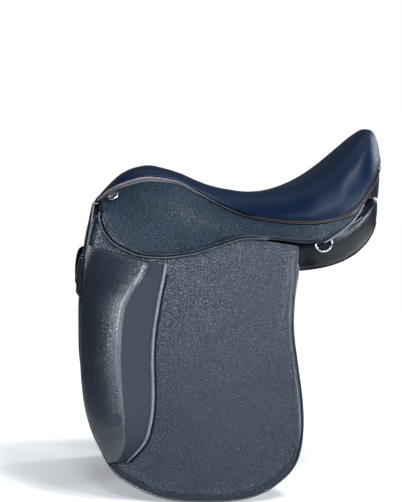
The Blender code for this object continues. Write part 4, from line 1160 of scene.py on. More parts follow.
@dataclass
class Seat:
    """Crowned seat cushion, the welt on its seam, the roll under it at the pommel, and the stitching.

    Attributes:
        tuck: how far the seam draws the skin in, and up to what height.
        fullness: how far the skin swells over the seam, and up to what share of its height.
        pucker: depth of the gathers, and up to what height they run.
        gathers: place, reach and strength of the stretches where the skin is gathered.
        back_wall: thickness of the cushion at its back, and height of its lowest line over the seam.
        roll_place: how far the roll's line lies out from the seam and its top below it.
        stitch_place: how far the stitches lie out from the seam and above it.
    """

    rows: int = 110
    columns: int = 60
    foam: float = 0.022
    bed_span: Point2 = (-0.214, 0.224)
    bed_margin: float = 0.011
    bed_lift: float = 0.002
    narrowing: float = 0.97
    wall: float = 0.0015
    tuck: Point2 = (0.0010, 0.002)
    fullness: Point2 = (0.0014, 0.45)
    pucker: Point2 = (0.0005, 0.009)
    pucker_pitch: float = 0.0065
    pucker_lean: float = 0.4
    gathers: Sequence[Point3] = ((0.175, 0.045, 1.0), (-0.195, 0.03, 0.5))
    back_sizes: Sequence[float] = (0.97, 0.92, 0.84, 0.74, 0.60, 0.45, 0.30, 0.15, 0.03)
    back_puff: float = 0.0012
    back_wall: Point2 = (0.004, 0.0005)
    welt_start: float = 0.005
    welt_sink: float = 0.0004
    welt: Profile = Profile((-0.222, 0.0018), (-0.150, 0.0021), (-0.090, 0.0016), (-0.030, 0.0010),
                            (0.10, 0.0008), (0.26, 0.0009))
    roll: Profile = Profile((-0.215, 0.0016), (-0.190, 0.0028), (-0.140, 0.0026), (-0.095, 0.0012),
                            (-0.055, 0.0005))
    roll_span: Point2 = (-0.214, -0.055)
    roll_place: Point2 = (0.0046, 0.0016)
    stitch_span: Point2 = (0.03, 0.222)
    stitch_place: Point2 = (0.0012, 0.0030)

    def skin(self, x: float, t: float) -> Vector:
        """Point of the leather: fuller above the seam, drawn in at it, gathered where the seat is tight.

        Args:
            x: place along the saddle.
            t: place across, from -1 at the near seam to 1 at the far seam.
        Returns:
            The point.
        """
        p = FORM.point(x, t)
        above = max(0.0, p.z - FORM.seam(x))
        share = min(1.0, above / max(FORM.crest(x) - FORM.seam(x), 1e-6))
        swell = self.fullness[0] * math.sin(math.pi * min(1.0, share / self.fullness[1]))
        swell -= self.tuck[0] * math.exp(-above / self.tuck[1])
        tight = sum(much * max(0.0, 1 - ((x - middle) / reach) ** 2) for middle, reach, much in self.gathers)
        fold = math.sin(2 * math.pi * (x + self.pucker_lean * above) / self.pucker_pitch)
        swell += self.pucker[0] * tight * math.exp(-above / self.pucker[1]) * fold
        way = FORM.plan_normal(x)
        sign = math.copysign(1.0, t) if t else 0.0
        return p + Vector((way.x, sign * way.y, 0.0)) * swell * min(1.0, abs(t) * 3)

    def lining(self, p: Vector) -> Vector:
        """Point of the cushion's underside, over the tree and its webs.

        Args:
            p: point of the skin that it belongs to.
        Returns:
            The point.
        """
        x = min(max(p.x, self.bed_span[0]), self.bed_span[1])
        half = FORM.half(x) - self.bed_margin / FORM.plan_normal(x).y
        arch = max(0.0, FORM.crest(x) - FORM.seam(x) - self.foam)
        crown = math.sqrt(max(0.0, 1.0 - min(1.0, abs(p.y) / half) ** 2))
        height = max(FORM.seam(x) + self.bed_lift + arch * crown, FORM.seam(p.x))
        return Vector((p.x, p.y * self.narrowing, min(height, p.z - self.wall)))

    def cushion(self) -> Thing:
        """Build the closed cushion with its rounded back.

        Returns:
            The cushion.
        """
        shares = [math.sin(math.pi / 2 * (2 * j / self.columns - 1)) for j in range(self.columns + 1)]
        outer = [[self.skin(x, t) for t in shares] for x in stations(FORM.front, FORM.rear, self.rows, 0.6)]
        inner = [[self.lining(p) for p in row] for row in outer]
        seam = FORM.seam(FORM.rear)
        wall, lift = self.back_wall
        for size in self.back_sizes:
            row, back = [], []
            for t in shares:
                edge = FORM.point(FORM.rear, t)
                share = size * (edge.z - seam) / (FORM.crest(FORM.rear) - seam)
                x = FORM.rear - FORM.lean * (1 - share) + self.back_puff * math.sin(math.pi * (1 - size))
                row.append(Vector((x, edge.y * size, lerp(seam, edge.z, size))))
                back.append(Vector((x - wall, edge.y * size, seam + lift)))
            outer.append(row)
            inner.append(back)
        return shell("seat_cushion", outer, inner)

    def seam_trim(self, side: Side) -> None:
        """Build one side's roll under the pommel's seam and stitches over the seat's seam.

        Args:
            side: the saddle's side.
        """
        spots = stations(*self.roll_span, 50)
        out, drop = self.roll_place
        line = [FORM.seam_spot(side.sign, x, out, -drop - self.roll(x)) for x in spots]
        strip = tube(f"pommel_roll_{side.label}", line, [self.roll(x) for x in spots])
        dress(strip, Finish.ROLL, "saddle", "grained_leather")
        run = [FORM.seam_spot(side.sign, x, *self.stitch_place) for x in stations(*self.stitch_span, 60)]
        thread = stitches(f"seat_stitches_{side.label}", run, 0.0042, 0.0029, 0.00034)
        dress(thread, Finish.TAN_THREAD, "saddle")

    def build(self) -> None:
        """Build and dress the seat."""
        seat = dress(self.cushion(), Finish.SEAT, "saddle", "smooth_leather", ("seat_cover", "seat_foam"))
        out = WELT_RADIUS + SOFT_TOUCH - self.welt_sink
        xs = stations(FORM.front + self.welt_start, FORM.rear, 120, 0.5)
        far = [FORM.seam_spot(1, x, out, TOUCH) for x in xs]
        path = far + [Vector((p.x, -p.y, p.z)) for p in reversed(far)]
        welt = tube("seat_piping", path, [self.welt(p.x) for p in path])
        dress(welt, Finish.WELT, "saddle", "piping_leather", ("seat_welt",))
        for side in Side:
            self.seam_trim(side)
        LOG.info("seat: cushion, welt, pommel rolls and stitches")


@dataclass
class Skirt:
    """One skirt: sewn under the seat's welt, bent over the flap's top, with a rolled and piped border.

    Attributes:
        slit: half the gap between the fixed part and the lobe, and how far down it closes.
        level: width beside the bend line in which the border's height fades.
    """

    side: Side
    lobe: Sequence[Point2] = (
        (-0.004, 0.000), (-0.003, 0.010), (0.001, 0.020), (0.008, 0.032), (0.025, 0.047), (0.047, 0.056),
        (0.067, 0.061), (0.088, 0.061), (0.112, 0.058), (0.135, 0.052), (0.158, 0.044), (0.180, 0.033),
        (0.202, 0.022), (0.225, 0.010), (0.248, 0.005), (0.268, 0.0025))
    border: Sequence[Point2] = (
        (0.0, -0.0013), (0.0005, -0.0002), (0.0011, 0.0004), (0.0017, -0.0002), (0.0023, -0.0014),
        (0.0031, -0.0003), (0.0045, 0.0011), (0.0062, 0.0013), (0.0078, 0.0005), (0.0094, -0.0007),
        (0.0112, -0.0005), (0.0140, 0.0))
    slit: Point2 = (0.0004, 0.010)
    level: float = 0.006
    nudge: float = 0.0006
    ends: float = 0.002
    bead: float = 0.0010
    bead_inset: float = 0.0009
    rim: float = 0.0013
    rim_depth: float = 0.0006
    rim_span: Point2 = (0.138, 0.2055)

    def surface(self, a: float, s: float) -> Vector:
        """Point of the outer face.

        Args:
            a: distance along the bend line.
            s: distance below the bend line or lower edge, negative above it.
        Returns:
            The point.
        """
        bend = BENDS[self.side]
        x = bend.front.x + a * bend.along.x
        if s >= 0.0 and x <= FORM.bend_end:
            return bend.point(a, s, 0.0)
        length = FORM.skirt_run(self.side, x)[1].length
        return FORM.skirt_point(self.side, x, max(0.0, 1.0 + s / length))

    def place(self, a: float, s: float, h: float) -> Vector:
        """Point over the outer face.

        Args:
            a: distance along the bend line.
            s: distance below the bend line or lower edge, negative above it.
            h: height over the face.
        Returns:
            The point.
        """
        if s >= 0.0 and a <= BENDS[self.side].share(FORM.bend_end):
            gap, reach = self.slit
            s += gap * max(0.0, 1.0 - s / reach)
        if h > 0.0:
            h *= min(1.0, abs(s) / self.level)
        ahead = self.surface(a + self.nudge, s) - self.surface(a - self.nudge, s)
        low = self.surface(a, s + self.nudge) - self.surface(a, s - self.nudge)
        normal = ahead.cross(low).normalized() * self.side.sign
        return self.surface(a, s) + normal * h

    def leather(self) -> None:
        """Build the skirt as one leather, parted on the bend line so that its lobe lifts."""
        bend = BENDS[self.side]
        label = self.side.label
        xs = stations(FORM.skirt_front, FORM.skirt_rear, 70)
        top = [(bend.share(x), -FORM.skirt_run(self.side, x)[1].length) for x in xs]
        rear = [(bend.share(x), 0.0) for x in reversed(xs) if x > FORM.bend_end + self.ends]
        outline = top + rear + smooth_path(self.lobe, 3)[::-1]
        bare = [((a - 0.004, s - 0.004), (a + 0.004, s + 0.0015)) for a, s in top]
        cut = LeatherCut(outline, self.border, SKIRT_THICKNESS, bare=bare, split=((-0.02, 0.0), (0.272, 0.0)),
                         step=0.0035, grid=0.007, ripple=0.0002)
        end = bend.share(FORM.bend_end)
        upper = cut.build(f"skirt_upper_{label}", self.place, lambda a, s: s < 0.0 or a > end)
        lower = cut.build(f"skirt_front_{label}", self.place, lambda a, s: s >= 0.0 and a <= end)
        dress(upper, Finish.SKIRT, "saddle", "grained_leather", (f"skirt_{label}",))
        dress(lower, Finish.SKIRT, f"skirt_lobe_{label}", "grained_leather", (f"skirt_lobe_{label}",))
        LOG.info("skirt %s: %d points", label, len(cut.flat))

    def build(self) -> None:
        """Build the leather, the bead on the lobe's edge and the pale piping on the rear edge."""
        self.leather()
        label = self.side.label
        end = BENDS[self.side].share(FORM.bend_end) - self.ends
        # The pale bead on the lobe's lower edge is partly painted highlight, standing in for the bright light
        # along that edge.
        low = [self.place(a, s - self.bead_inset, TRIM_LIFT) for a, s in smooth_path(self.lobe, 4)
               if s > 0.0015 and a < end]
        bead = tube(f"skirt_bead_{label}", low, self.bead)
        dress(bead, Finish.BEAD, f"skirt_lobe_{label}", "piping_leather")
        line = [FORM.skirt_point(self.side, x, 1.0, self.rim_depth) for x in stations(*self.rim_span, 30)]
        rim = tube(f"skirt_rear_piping_{label}", line, self.rim)
        dress(rim, Finish.RIM, "saddle", "piping_leather")


@dataclass
class Flap:
    """One flap with its rolled border and the bead on its edge."""

    side: Side
    front: Sequence[Point2] = (
        (-0.010, 0.004), (-0.0135, 0.020), (-0.0145, 0.055), (-0.012, 0.085), (-0.008, 0.120),
        (-0.004, 0.160), (0.003, 0.205), (0.014, 0.255), (0.025, 0.291), (0.036, 0.318), (0.050, 0.346),
        (0.068, 0.378))
    bottom: Sequence[Point2] = (
        (0.091, 0.403), (0.120, 0.417), (0.161, 0.428), (0.205, 0.428), (0.258, 0.420), (0.298, 0.408),
        (0.321, 0.396), (0.338, 0.382), (0.356, 0.361), (0.366, 0.339), (0.369, 0.310), (0.366, 0.275))
    rear: Sequence[Point2] = (
        (0.358, 0.237), (0.345, 0.192), (0.332, 0.146), (0.326, 0.109), (0.323, 0.070), (0.320, 0.035),
        (0.318, 0.004))
    border: Sequence[Point2] = (
        (0.0, -0.0026), (0.0005, -0.0017), (0.0011, -0.0014), (0.0017, -0.0018), (0.0024, -0.0026),
        (0.0036, -0.0017), (0.0052, -0.0008), (0.0072, 0.0001), (0.0100, 0.0007), (0.0140, 0.0005),
        (0.0190, 0.0))
    plain: tuple[Point2, Point2] = ((-0.03, -0.01), (0.4, 0.0052))
    ripple: float = 0.00025
    bead: float = 0.0010
    bead_start: float = 0.008

    def build(self) -> None:
        """Build and dress the flap."""
        label = self.side.label
        bend = BENDS[self.side]
        outline = smooth_path([*self.front, *self.bottom, *self.rear], 3)
        cut = LeatherCut(outline, self.border, FLAP_THICKNESS, bare=[self.plain], holes=[BAR_WINDOW],
                         ripple=self.ripple)
        flap = cut.build(f"flap_leather_{label}", bend.face(FLAP_FACE))
        dress(flap, Finish.FLAP, f"flap_{label}", "grained_leather", (f"flap_{label}",))
        path = [bend.point(a, d, FLAP_FACE - self.bead) for a, d in outline if d > self.bead_start]
        bead = tube(f"flap_bead_{label}", path, self.bead)
        dress(bead, Finish.BEAD, f"flap_{label}", "piping_leather")
        LOG.info("flap %s: %d points", label, len(cut.flat))


@dataclass
class KneeBlock:
    """Large outside knee block: grained front, ridge, smooth rear face and piping along its rear edge.

    Attributes:
        section: share of the height across it, with the ridge at half way.
        ridge: where the ridge stands across the block, along its length.
        shadow_flange: where the dark strip behind the piping starts and ends; it is painted shade, a dark
            seam allowance laid where the piping's shadow falls on the flap.
    """

    side: Side
    front: Sequence[Point2] = (
        (-0.012, 0.056), (-0.012, 0.085), (-0.009, 0.114), (-0.008, 0.146), (-0.004, 0.178), (0.003, 0.217),
        (0.011, 0.257), (0.021, 0.293), (0.031, 0.320), (0.045, 0.347), (0.062, 0.371), (0.078, 0.390))
    rear: Sequence[Point2] = (
        (0.113, 0.068), (0.113, 0.092), (0.112, 0.115), (0.112, 0.140), (0.112, 0.165), (0.114, 0.195),
        (0.118, 0.225), (0.124, 0.255), (0.129, 0.285), (0.131, 0.315), (0.127, 0.350), (0.106, 0.383))
    height: float = 0.034
    rise: Profile = Profile((0.0, 0.0), (0.012, 0.30), (0.04, 0.50), (0.12, 0.74), (0.30, 0.95), (0.50, 1.0),
                            (0.75, 0.96), (0.90, 0.74), (0.97, 0.42), (1.0, 0.12))
    section: Profile = Profile((0.0, 0.0), (0.012, 0.24), (0.05, 0.48), (0.14, 0.74), (0.26, 0.90),
                               (0.40, 0.985), (0.50, 1.0), (0.58, 0.92), (0.72, 0.64), (0.86, 0.36),
                               (0.96, 0.17), (1.0, 0.10))
    ridge: Profile = Profile((0.0, 0.76), (0.12, 0.70), (0.22, 0.60), (0.34, 0.54), (0.6, 0.52), (1.0, 0.52))
    rows: int = 70
    columns: int = 48
    grained: int = 30
    shoulder: float = 0.065
    piping: float = 0.0030
    piping_gap: float = 0.0012
    # Dark flange behind the piping: painted shade, standing in for the shadow that the piping casts on the
    # flap.
    shadow_flange: Point2 = (0.0030, 0.0082)
    shadow_flange_start: int = 4
    shadow_flange_height: float = 0.0009
    shadow_flange_sheet: float = 0.0006

    def line(self, points: Sequence[Point2]) -> list[Point2]:
        """The given edge in as many steps as the block has rows."""
        path = smooth_path(points, 8)
        return [path[round(i * (len(path) - 1) / self.rows)] for i in range(self.rows + 1)]

    def shares(self, k: float) -> list[float]:
        """Where one row's columns stand, one of them always on the line where the grain ends.

        Args:
            k: place along the block, from 0 at its top to 1.
        Returns:
            Shares of the row's width.
        """
        edge = self.ridge(k) + self.shoulder
        front = stations(0.0, edge, self.grained, 0.5)
        return front[:-1] + stations(edge, 1.0, self.columns - self.grained, 0.5)

    def pad(self, base: float) -> None:
        """Build and dress the padded block.

        Args:
            base: distance of its underside out from the bend line.
        """
        bend = BENDS[self.side]
        label = self.side.label
        outer, inner = [], []
        for i, ((fa, fd), (ra, rd)) in enumerate(zip(self.line(self.front), self.line(self.rear))):
            k = i / self.rows
            bias = math.log(0.5) / math.log(self.ridge(k))
            row, low = [], []
            for s in self.shares(k):
                high = self.height * self.rise(k) * self.section(s ** bias)
                row.append(bend.point(lerp(fa, ra, s), lerp(fd, rd, s), base + high))
                low.append(bend.point(lerp(fa, ra, s), lerp(fd, rd, s), base))
            outer.append(row)
            inner.append(low)
        block = shell(f"knee_block_pad_{label}", outer, inner)
        dress(block, Finish.BLOCK, f"flap_{label}", "grained_leather", (f"knee_block_{label}",))
        block.data.materials.append(Finish.BLOCK_REAR.material())
        for polygon in block.data.polygons:
            if polygon.index < 2 * self.rows * self.columns:
                polygon.material_index = int(polygon.index // 2 % self.columns >= self.grained)

    def build(self) -> None:
        """Build and dress the block, its piping and the dark flange behind it, which is painted shade for the
        piping's shadow on the flap.
        """
        bend = BENDS[self.side]
        label = self.side.label
        base = FLAP_FACE + TOUCH
        self.pad(base)
        rears = self.line(self.rear)
        path = [bend.point(a + self.piping_gap, d, base + self.piping) for a, d in rears]
        sizes = [self.piping * min(1.0, 0.3 + 6 * (1 - i / self.rows)) for i in range(self.rows + 1)]
        cord = tube(f"knee_block_piping_{label}", path, sizes, sides=12)
        dress(cord, Finish.BLOCK_PIPING, f"flap_{label}", "piping_leather")
        # The dark flange is painted shade: it lies where the piping's shadow falls on the flap.
        across = list(zip(stations(*self.shadow_flange, 6), stations(0.15, 0.95, 6)))
        rows = [[bend.point(a + out, d, base + self.shadow_flange_height * math.sin(math.pi * t))
                 for out, t in across] for a, d in rears[self.shadow_flange_start:]]
        low = [[p - bend.out * self.shadow_flange_sheet for p in row] for row in rows]
        shadow_flange = shell(f"knee_block_shadow_flange_{label}", rows, low)
        dress(shadow_flange, Finish.EDGE, f"flap_{label}", "edge_leather")
        LOG.info("knee block %s", label)


@dataclass
class SweatFlap:
    """Under-flap with the point pocket on its outer side and a soft pad on its inner side.

    Attributes:
        setback: how far its front edge lies behind the flap's.
        seams: distance below the bend line and thread radius of each row of stitches on the pocket.
    """

    side: Side
    setback: float = 0.006
    bottom: Sequence[Point2] = (
        (0.120, 0.387), (0.161, 0.398), (0.205, 0.398), (0.258, 0.390), (0.298, 0.378), (0.322, 0.366),
        (0.338, 0.352), (0.356, 0.331), (0.366, 0.309), (0.368, 0.280))
    rear: Sequence[Point2] = (
        (0.358, 0.237), (0.345, 0.192), (0.331, 0.146), (0.325, 0.109), (0.3245, 0.070), (0.323, 0.035),
        (0.305, 0.004))
    border: Sequence[Point2] = (
        (0.0, -0.0010), (0.0005, -0.0004), (0.0012, 0.0), (0.0022, -0.0004), (0.0034, 0.0), (0.006, 0.0))
    pocket: Sequence[Point2] = (
        (-0.018, 0.066), (-0.0245, 0.074), (-0.0250, 0.097), (-0.0210, 0.122), (-0.0155, 0.136),
        (0.016, 0.140), (0.020, 0.066))
    pocket_border: Sequence[Point2] = (
        (0.0, -0.0014), (0.0005, -0.0005), (0.0012, -0.0001), (0.0022, -0.0006), (0.0034, 0.0), (0.006, 0.0))
    pocket_thickness: float = 0.004
    pad: Sequence[Point2] = (
        (0.010, 0.150), (0.012, 0.215), (0.034, 0.285), (0.075, 0.345), (0.140, 0.370), (0.215, 0.368),
        (0.250, 0.330), (0.255, 0.230), (0.245, 0.165), (0.130, 0.142))
    pad_border: Sequence[Point2] = (
        (0.0, -0.0050), (0.0008, -0.0028), (0.002, -0.0016), (0.004, -0.0007), (0.007, 0.0), (0.012, 0.0005),
        (0.022, 0.0008))
    pad_thickness: float = 0.009
    seams: Sequence[Point2] = ((0.0715, 0.0007), (0.0765, 0.0005))
    seam_span: Point2 = (-0.0215, 0.012)
    seam_drop: float = 0.003
    binding: float = 0.0014
    binding_place: Point3 = (0.0006, 0.0012, 0.008)

    def point_pocket(self) -> None:
        """Build and dress the pocket of the tree's point with its stitches."""
        bend = BENDS[self.side]
        label = self.side.label
        cut = LeatherCut(smooth_loop(self.pocket, 3), self.pocket_border, self.pocket_thickness, step=0.003,
                         grid=0.006)
        pocket = cut.build(f"point_tab_{label}", bend.face(SWEAT_FACE + TOUCH + self.pocket_thickness))
        dress(pocket, Finish.EDGE, "saddle", "edge_leather", (f"point_pocket_{label}",))
        over = SWEAT_FACE + self.pocket_thickness + 2 * TOUCH
        steps = 12
        for number, (start, size) in enumerate(self.seams, 1):
            line = [bend.point(a, start - self.seam_drop * (i / steps), over)
                    for i, a in enumerate(stations(*self.seam_span, steps))]
            seam = stitches(f"tab_stitches_{number}_{label}", line, 0.0030, 0.0022, size)
            dress(seam, Finish.GREY_THREAD, "saddle")

    def build(self) -> None:
        """Build and dress the three leathers and the pale binding of the rear edge."""
        bend = BENDS[self.side]
        label = self.side.label
        front = [(a + self.setback, d) for a, d in Flap.front[:-1]]
        outline = smooth_path([*front, *self.bottom, *self.rear], 3)
        sheet = LeatherCut(outline, self.border, SWEAT_THICKNESS, holes=[BAR_WINDOW], ripple=0.0002)
        flap = sheet.build(f"sweat_leather_{label}", bend.face(SWEAT_FACE))
        dress(flap, Finish.SMOOTH, "saddle", "smooth_leather", (f"sweat_flap_{label}",))
        cushion = LeatherCut(smooth_loop(self.pad, 3), self.pad_border, self.pad_thickness, step=0.005,
                             grid=0.010, ripple=0.0003)
        pad = cushion.build(f"leg_cushion_{label}", bend.back_face(SWEAT_BACK - TOUCH - self.pad_thickness))
        dress(pad, Finish.SMOOTH, "saddle", "smooth_leather", (f"leg_pad_{label}",))
        self.point_pocket()
        inset, depth, start = self.binding_place
        path = [bend.point(a - inset, d, SWEAT_FACE - depth)
                for a, d in smooth_path(self.rear, 4) if d > start]
        binding = tube(f"sweat_binding_{label}", path, self.binding)
        dress(binding, Finish.RIM, "saddle", "piping_leather")
        LOG.info("sweat flap %s", label)


@dataclass
class Panels:
    """Stuffed panels under the tree, with gusset piping, and stitches along the gusset.

    Attributes:
        sections: place along the saddle, then inner top, outer bottom and half thickness of the far panel.
        swell: height of the stuffing's slow unevenness, and how many waves it has to the metre.
        cords: name, angle round the section, start, end, finish and slot of each piping.
    """

    sections: Sequence[tuple[float, ...]] = (
        (-0.2215, 0.050, 0.020, 0.080, -0.070, 0.0070), (-0.2170, 0.046, 0.026, 0.088, -0.090, 0.0105),
        (-0.1850, 0.045, 0.028, 0.094, -0.102, 0.0112), (-0.1400, 0.044, 0.028, 0.104, -0.100, 0.0120),
        (-0.0950, 0.042, 0.024, 0.112, -0.088, 0.0135), (-0.0400, 0.038, 0.013, 0.111, -0.066, 0.0158),
        (0.0200, 0.036, -0.006, 0.115, -0.052, 0.0215), (0.0700, 0.036, -0.010, 0.118, -0.043, 0.0290),
        (0.1050, 0.036, -0.012, 0.123, -0.037, 0.0345), (0.1400, 0.036, -0.009, 0.137, -0.029, 0.0365),
        (0.1700, 0.036, -0.0025, 0.131, -0.0195, 0.0370), (0.1960, 0.035, 0.0155, 0.117, -0.0085, 0.0385),
        (0.2150, 0.034, 0.030, 0.102, 0.006, 0.0400), (0.2270, 0.036, 0.034, 0.092, 0.019, 0.0350),
        (0.2345, 0.040, 0.037, 0.082, 0.030, 0.0260), (0.2375, 0.044, 0.040, 0.075, 0.036, 0.0130))
    power: float = 3.0
    steps: int = 70
    around: int = 48
    swell: Point2 = (0.0004, 95.0)
    cords: Sequence[tuple[str, float, float, float, Finish, Optional[str]]] = (
        ("upper", 0.62, 0.150, 0.208, Finish.RIM, "piping_leather"),
        ("lower", -0.75, 0.020, 0.236, Finish.EDGE, None))
    cord: float = 0.0012
    seam_turn: float = 0.46
    seam_span: Point2 = (0.13, 0.232)
    thread: Point3 = (0.0042, 0.0028, 0.0003)

    def __post_init__(self) -> None:
        """Work out the smooth functions along the saddle for the five sizes of a section."""
        self.curves = [Profile(*[(row[0], row[k]) for row in self.sections]) for k in range(1, 6)]

    def spot(self, side: Side, x: float, turn: float, swell: float = 0.0) -> Vector:
        """Point on the skin of one section.

        Args:
            side: the saddle's side.
            x: the section's place.
            turn: angle round the section, 0 at its outer lower end.
            swell: distance out from the skin.
        Returns:
            The point.
        """
        top_y, top_z, low_y, low_z, half = (curve(x) for curve in self.curves)
        top, low = Vector((0.0, top_y, top_z)), Vector((0.0, low_y, low_z))
        reach = (low - top) / 2
        side_way = Vector((0.0, -reach.z, reach.y)).normalized()
        c, s = (math.copysign(abs(v) ** (2 / self.power), v) for v in (math.cos(turn), math.sin(turn)))
        p = (top + low) / 2 + reach * c + side_way * half * s
        p += (reach.normalized() * math.cos(turn) + side_way * math.sin(turn)) * swell
        front, rear = ARCH_SPAN
        lean = arch_lean(p.z) * max(0.0, min(1.0, (x - rear) / (front - rear)))
        return Vector((x - lean, side.sign * p.y, p.z))

    def cushion(self, side: Side, xs: Sequence[float]) -> Thing:
        """Build one side's panel.

        Args:
            side: the saddle's side.
            xs: places of its sections.
        Returns:
            The panel.
        """
        height, waves = self.swell
        rings = []
        for x in xs:
            rings.append([])
            for turn in turns(self.around):
                soft = height * math.sin(x * waves + 2.0 * turn) * max(0.0, math.cos(turn + 0.4))
                rings[-1].append(self.spot(side, x, turn, soft))
        return loft(f"panel_cushion_{side.label}", rings)

    def build(self) -> None:
        """Build both panels, their piping and their stitches."""
        xs = stations(self.sections[0][0], self.sections[-1][0], self.steps, 0.75)
        for side in Side:
            panel = self.cushion(side, xs)
            dress(panel, Finish.SMOOTH, "saddle", "smooth_leather", (f"panel_{side.label}",))
            for word, turn, start, end, finish, slot in self.cords:
                path = [self.spot(side, x, turn, 0.0004) for x in xs if start < x < end]
                dress(tube(f"panel_{word}_piping_{side.label}", path, self.cord), finish, "saddle", slot)
            start, end = self.seam_span
            path = [self.spot(side, x, self.seam_turn, TRIM_LIFT) for x in xs if start < x < end]
            thread = stitches(f"panel_stitches_{side.label}", path, *self.thread)
            dress(thread, Finish.GREY_THREAD, "saddle")
        LOG.info("panels: two cushions with piping and stitches")


@dataclass
class Facings:
    """Leathers that close the front of the arch and the back of the cantle, with pale rims.

    Attributes:
        cantle_low: height of its lower edge, and the least height of the leather above it.
        hem_drop: how far each step of the hem drops.
        hem_reach: length over which the hem grows to its depth, and its least share.
    """

    inner: Sequence[Point2] = (
        (0.000, 0.030), (0.016, 0.027), (0.032, 0.016), (0.044, -0.014), (0.056, -0.046), (0.064, -0.068))
    outer: Sequence[Point2] = (
        (0.094, -0.076), (0.097, -0.050), (0.092, -0.022), (0.085, 0.004), (0.077, 0.020), (0.062, 0.033),
        (0.042, 0.0415), (0.020, 0.0445), (0.000, 0.045))
    border: Sequence[Point2] = (
        (0.0, -0.0008), (0.0006, -0.0002), (0.0014, 0.0), (0.0026, -0.0004), (0.004, 0.0), (0.007, 0.0))
    front: float = -0.2218
    sheet: float = 0.002
    rim: float = 0.0014
    gusset_span: Point2 = (0.004, 0.0435)
    gusset_inset: float = 0.0012
    gusset_sheet: float = 0.0012
    cantle_start: float = 0.207
    cantle_low: Point2 = (0.054, 0.008)
    cantle_bulge: float = 0.0008
    cantle_puff: float = 0.0008
    cantle_tuck: float = 0.0025
    hem: float = 0.003
    hem_drop: Point2 = (0.0008, 0.0002)
    hem_reach: Point2 = (0.030, 0.15)

    def front_point(self, side: Side, y: float, z: float, h: float) -> Vector:
        """Point on the arch's front, at a height over its face."""
        return Vector((self.front - self.sheet - h - arch_lean(z), side.sign * max(y, TOUCH), z))

    def pommel(self, side: Side) -> None:
        """Build one half of the front facing with its rims and gusset.

        Args:
            side: the saddle's side.
        """
        cut = LeatherCut([*self.inner, *self.outer], self.border, self.sheet, step=0.003, grid=0.007)
        sheet = cut.build(f"arch_facing_{side.label}", lambda y, z, h: self.front_point(side, y, z, h))
        dress(sheet, Finish.EDGE, "saddle", "edge_leather", (f"pommel_facing_{side.label}",))
        for word, line, finish in (("outer", self.outer, Finish.RIM), ("inner", self.inner, Finish.EDGE)):
            path = [self.front_point(side, y, z, 0.0002) for y, z in smooth_path(line, 6)]
            dress(tube(f"arch_{word}_rim_{side.label}", path, self.rim), finish, "saddle")
        self.gusset(side)

    def gusset(self, side: Side) -> None:
        """Build the leather that joins the front facing's outer edge to the skirt's front edge.

        Args:
            side: the saddle's side.
        """
        rows = []
        low, high = self.gusset_span
        for y, z in smooth_path(self.outer, 5):
            if low < z < high:
                start = self.front_point(side, y - self.gusset_inset, z, -self.gusset_inset)
                xs = stations(start.x, FORM.skirt_front - 0.0008, 5)
                rows.append([Vector((x, start.y, start.z)) for x in xs])
        y, z = side.sign * 0.03, -0.03
        back = [[p + (Vector((p.x, y, z)) - p).normalized() * self.gusset_sheet for p in row] for row in rows]
        dress(shell(f"arch_gusset_{side.label}", rows, back), Finish.EDGE, "saddle", "edge_leather")

    def cantle_row(self, p: Vector, inwards: Vector, top: float) -> list[Vector]:
        """One upright row of the cantle's facing, with its hem.

        Args:
            p: place of the row in plan.
            inwards: direction into the saddle there.
            top: height of the row's upper end.
        Returns:
            Points from the top down.
        """
        low = min(self.cantle_low[0], top - self.cantle_low[1])
        row = []
        for share in stations(0.0, 1.0, 8):
            puff = self.cantle_puff * math.sin(math.pi * share)
            place = p + inwards * (TOUCH + self.cantle_tuck * share - puff)
            row.append(Vector((place.x, place.y, lerp(top, low, share))))
        length, least = self.hem_reach
        reach = max(least, min(1.0, (p.x - self.cantle_start) / length))
        for drop in self.hem_drop:
            row.append(row[-1] + inwards * self.hem * reach - Vector((0.0, 0.0, drop)))
        return row

    def cantle(self) -> None:
        """Build the rear facing round the cantle."""
        xs = stations(self.cantle_start, FORM.rear, 40, 0.5)
        far = [Vector((min(x, FORM.rear - FORM.lean), FORM.half(x), 0.0)) for x in xs]
        last = far[-1]
        middle = [Vector((last.x + self.cantle_bulge * math.cos(math.pi * t / 2), last.y * t, 0.0))
                  for t in (0.7, 0.4, 0.0, -0.4, -0.7)]
        arc = far + middle + [Vector((p.x, -p.y, 0.0)) for p in reversed(far)]
        tops = [FORM.below_welt(x) for x in xs + [xs[-1]] * len(middle) + xs[::-1]]
        rows = []
        for k, (p, top) in enumerate(zip(arc, tops)):
            along = arc[min(k + 1, len(arc) - 1)] - arc[max(k - 1, 0)]
            inwards = Vector((-along.y, along.x, 0.0)).normalized()
            rows.append(self.cantle_row(p, -inwards if inwards.x > 0 else inwards, top))
        sheet = shell("cantle_leather", rows, offset_rows(rows, -self.sheet))
        dress(sheet, Finish.SMOOTH, "saddle", "smooth_leather", ("cantle_facing",))

    def build(self) -> None:
        """Build and dress the facings."""
        for side in Side:
            self.pommel(side)
        self.cantle()
        LOG.info("facings: pommel and cantle")


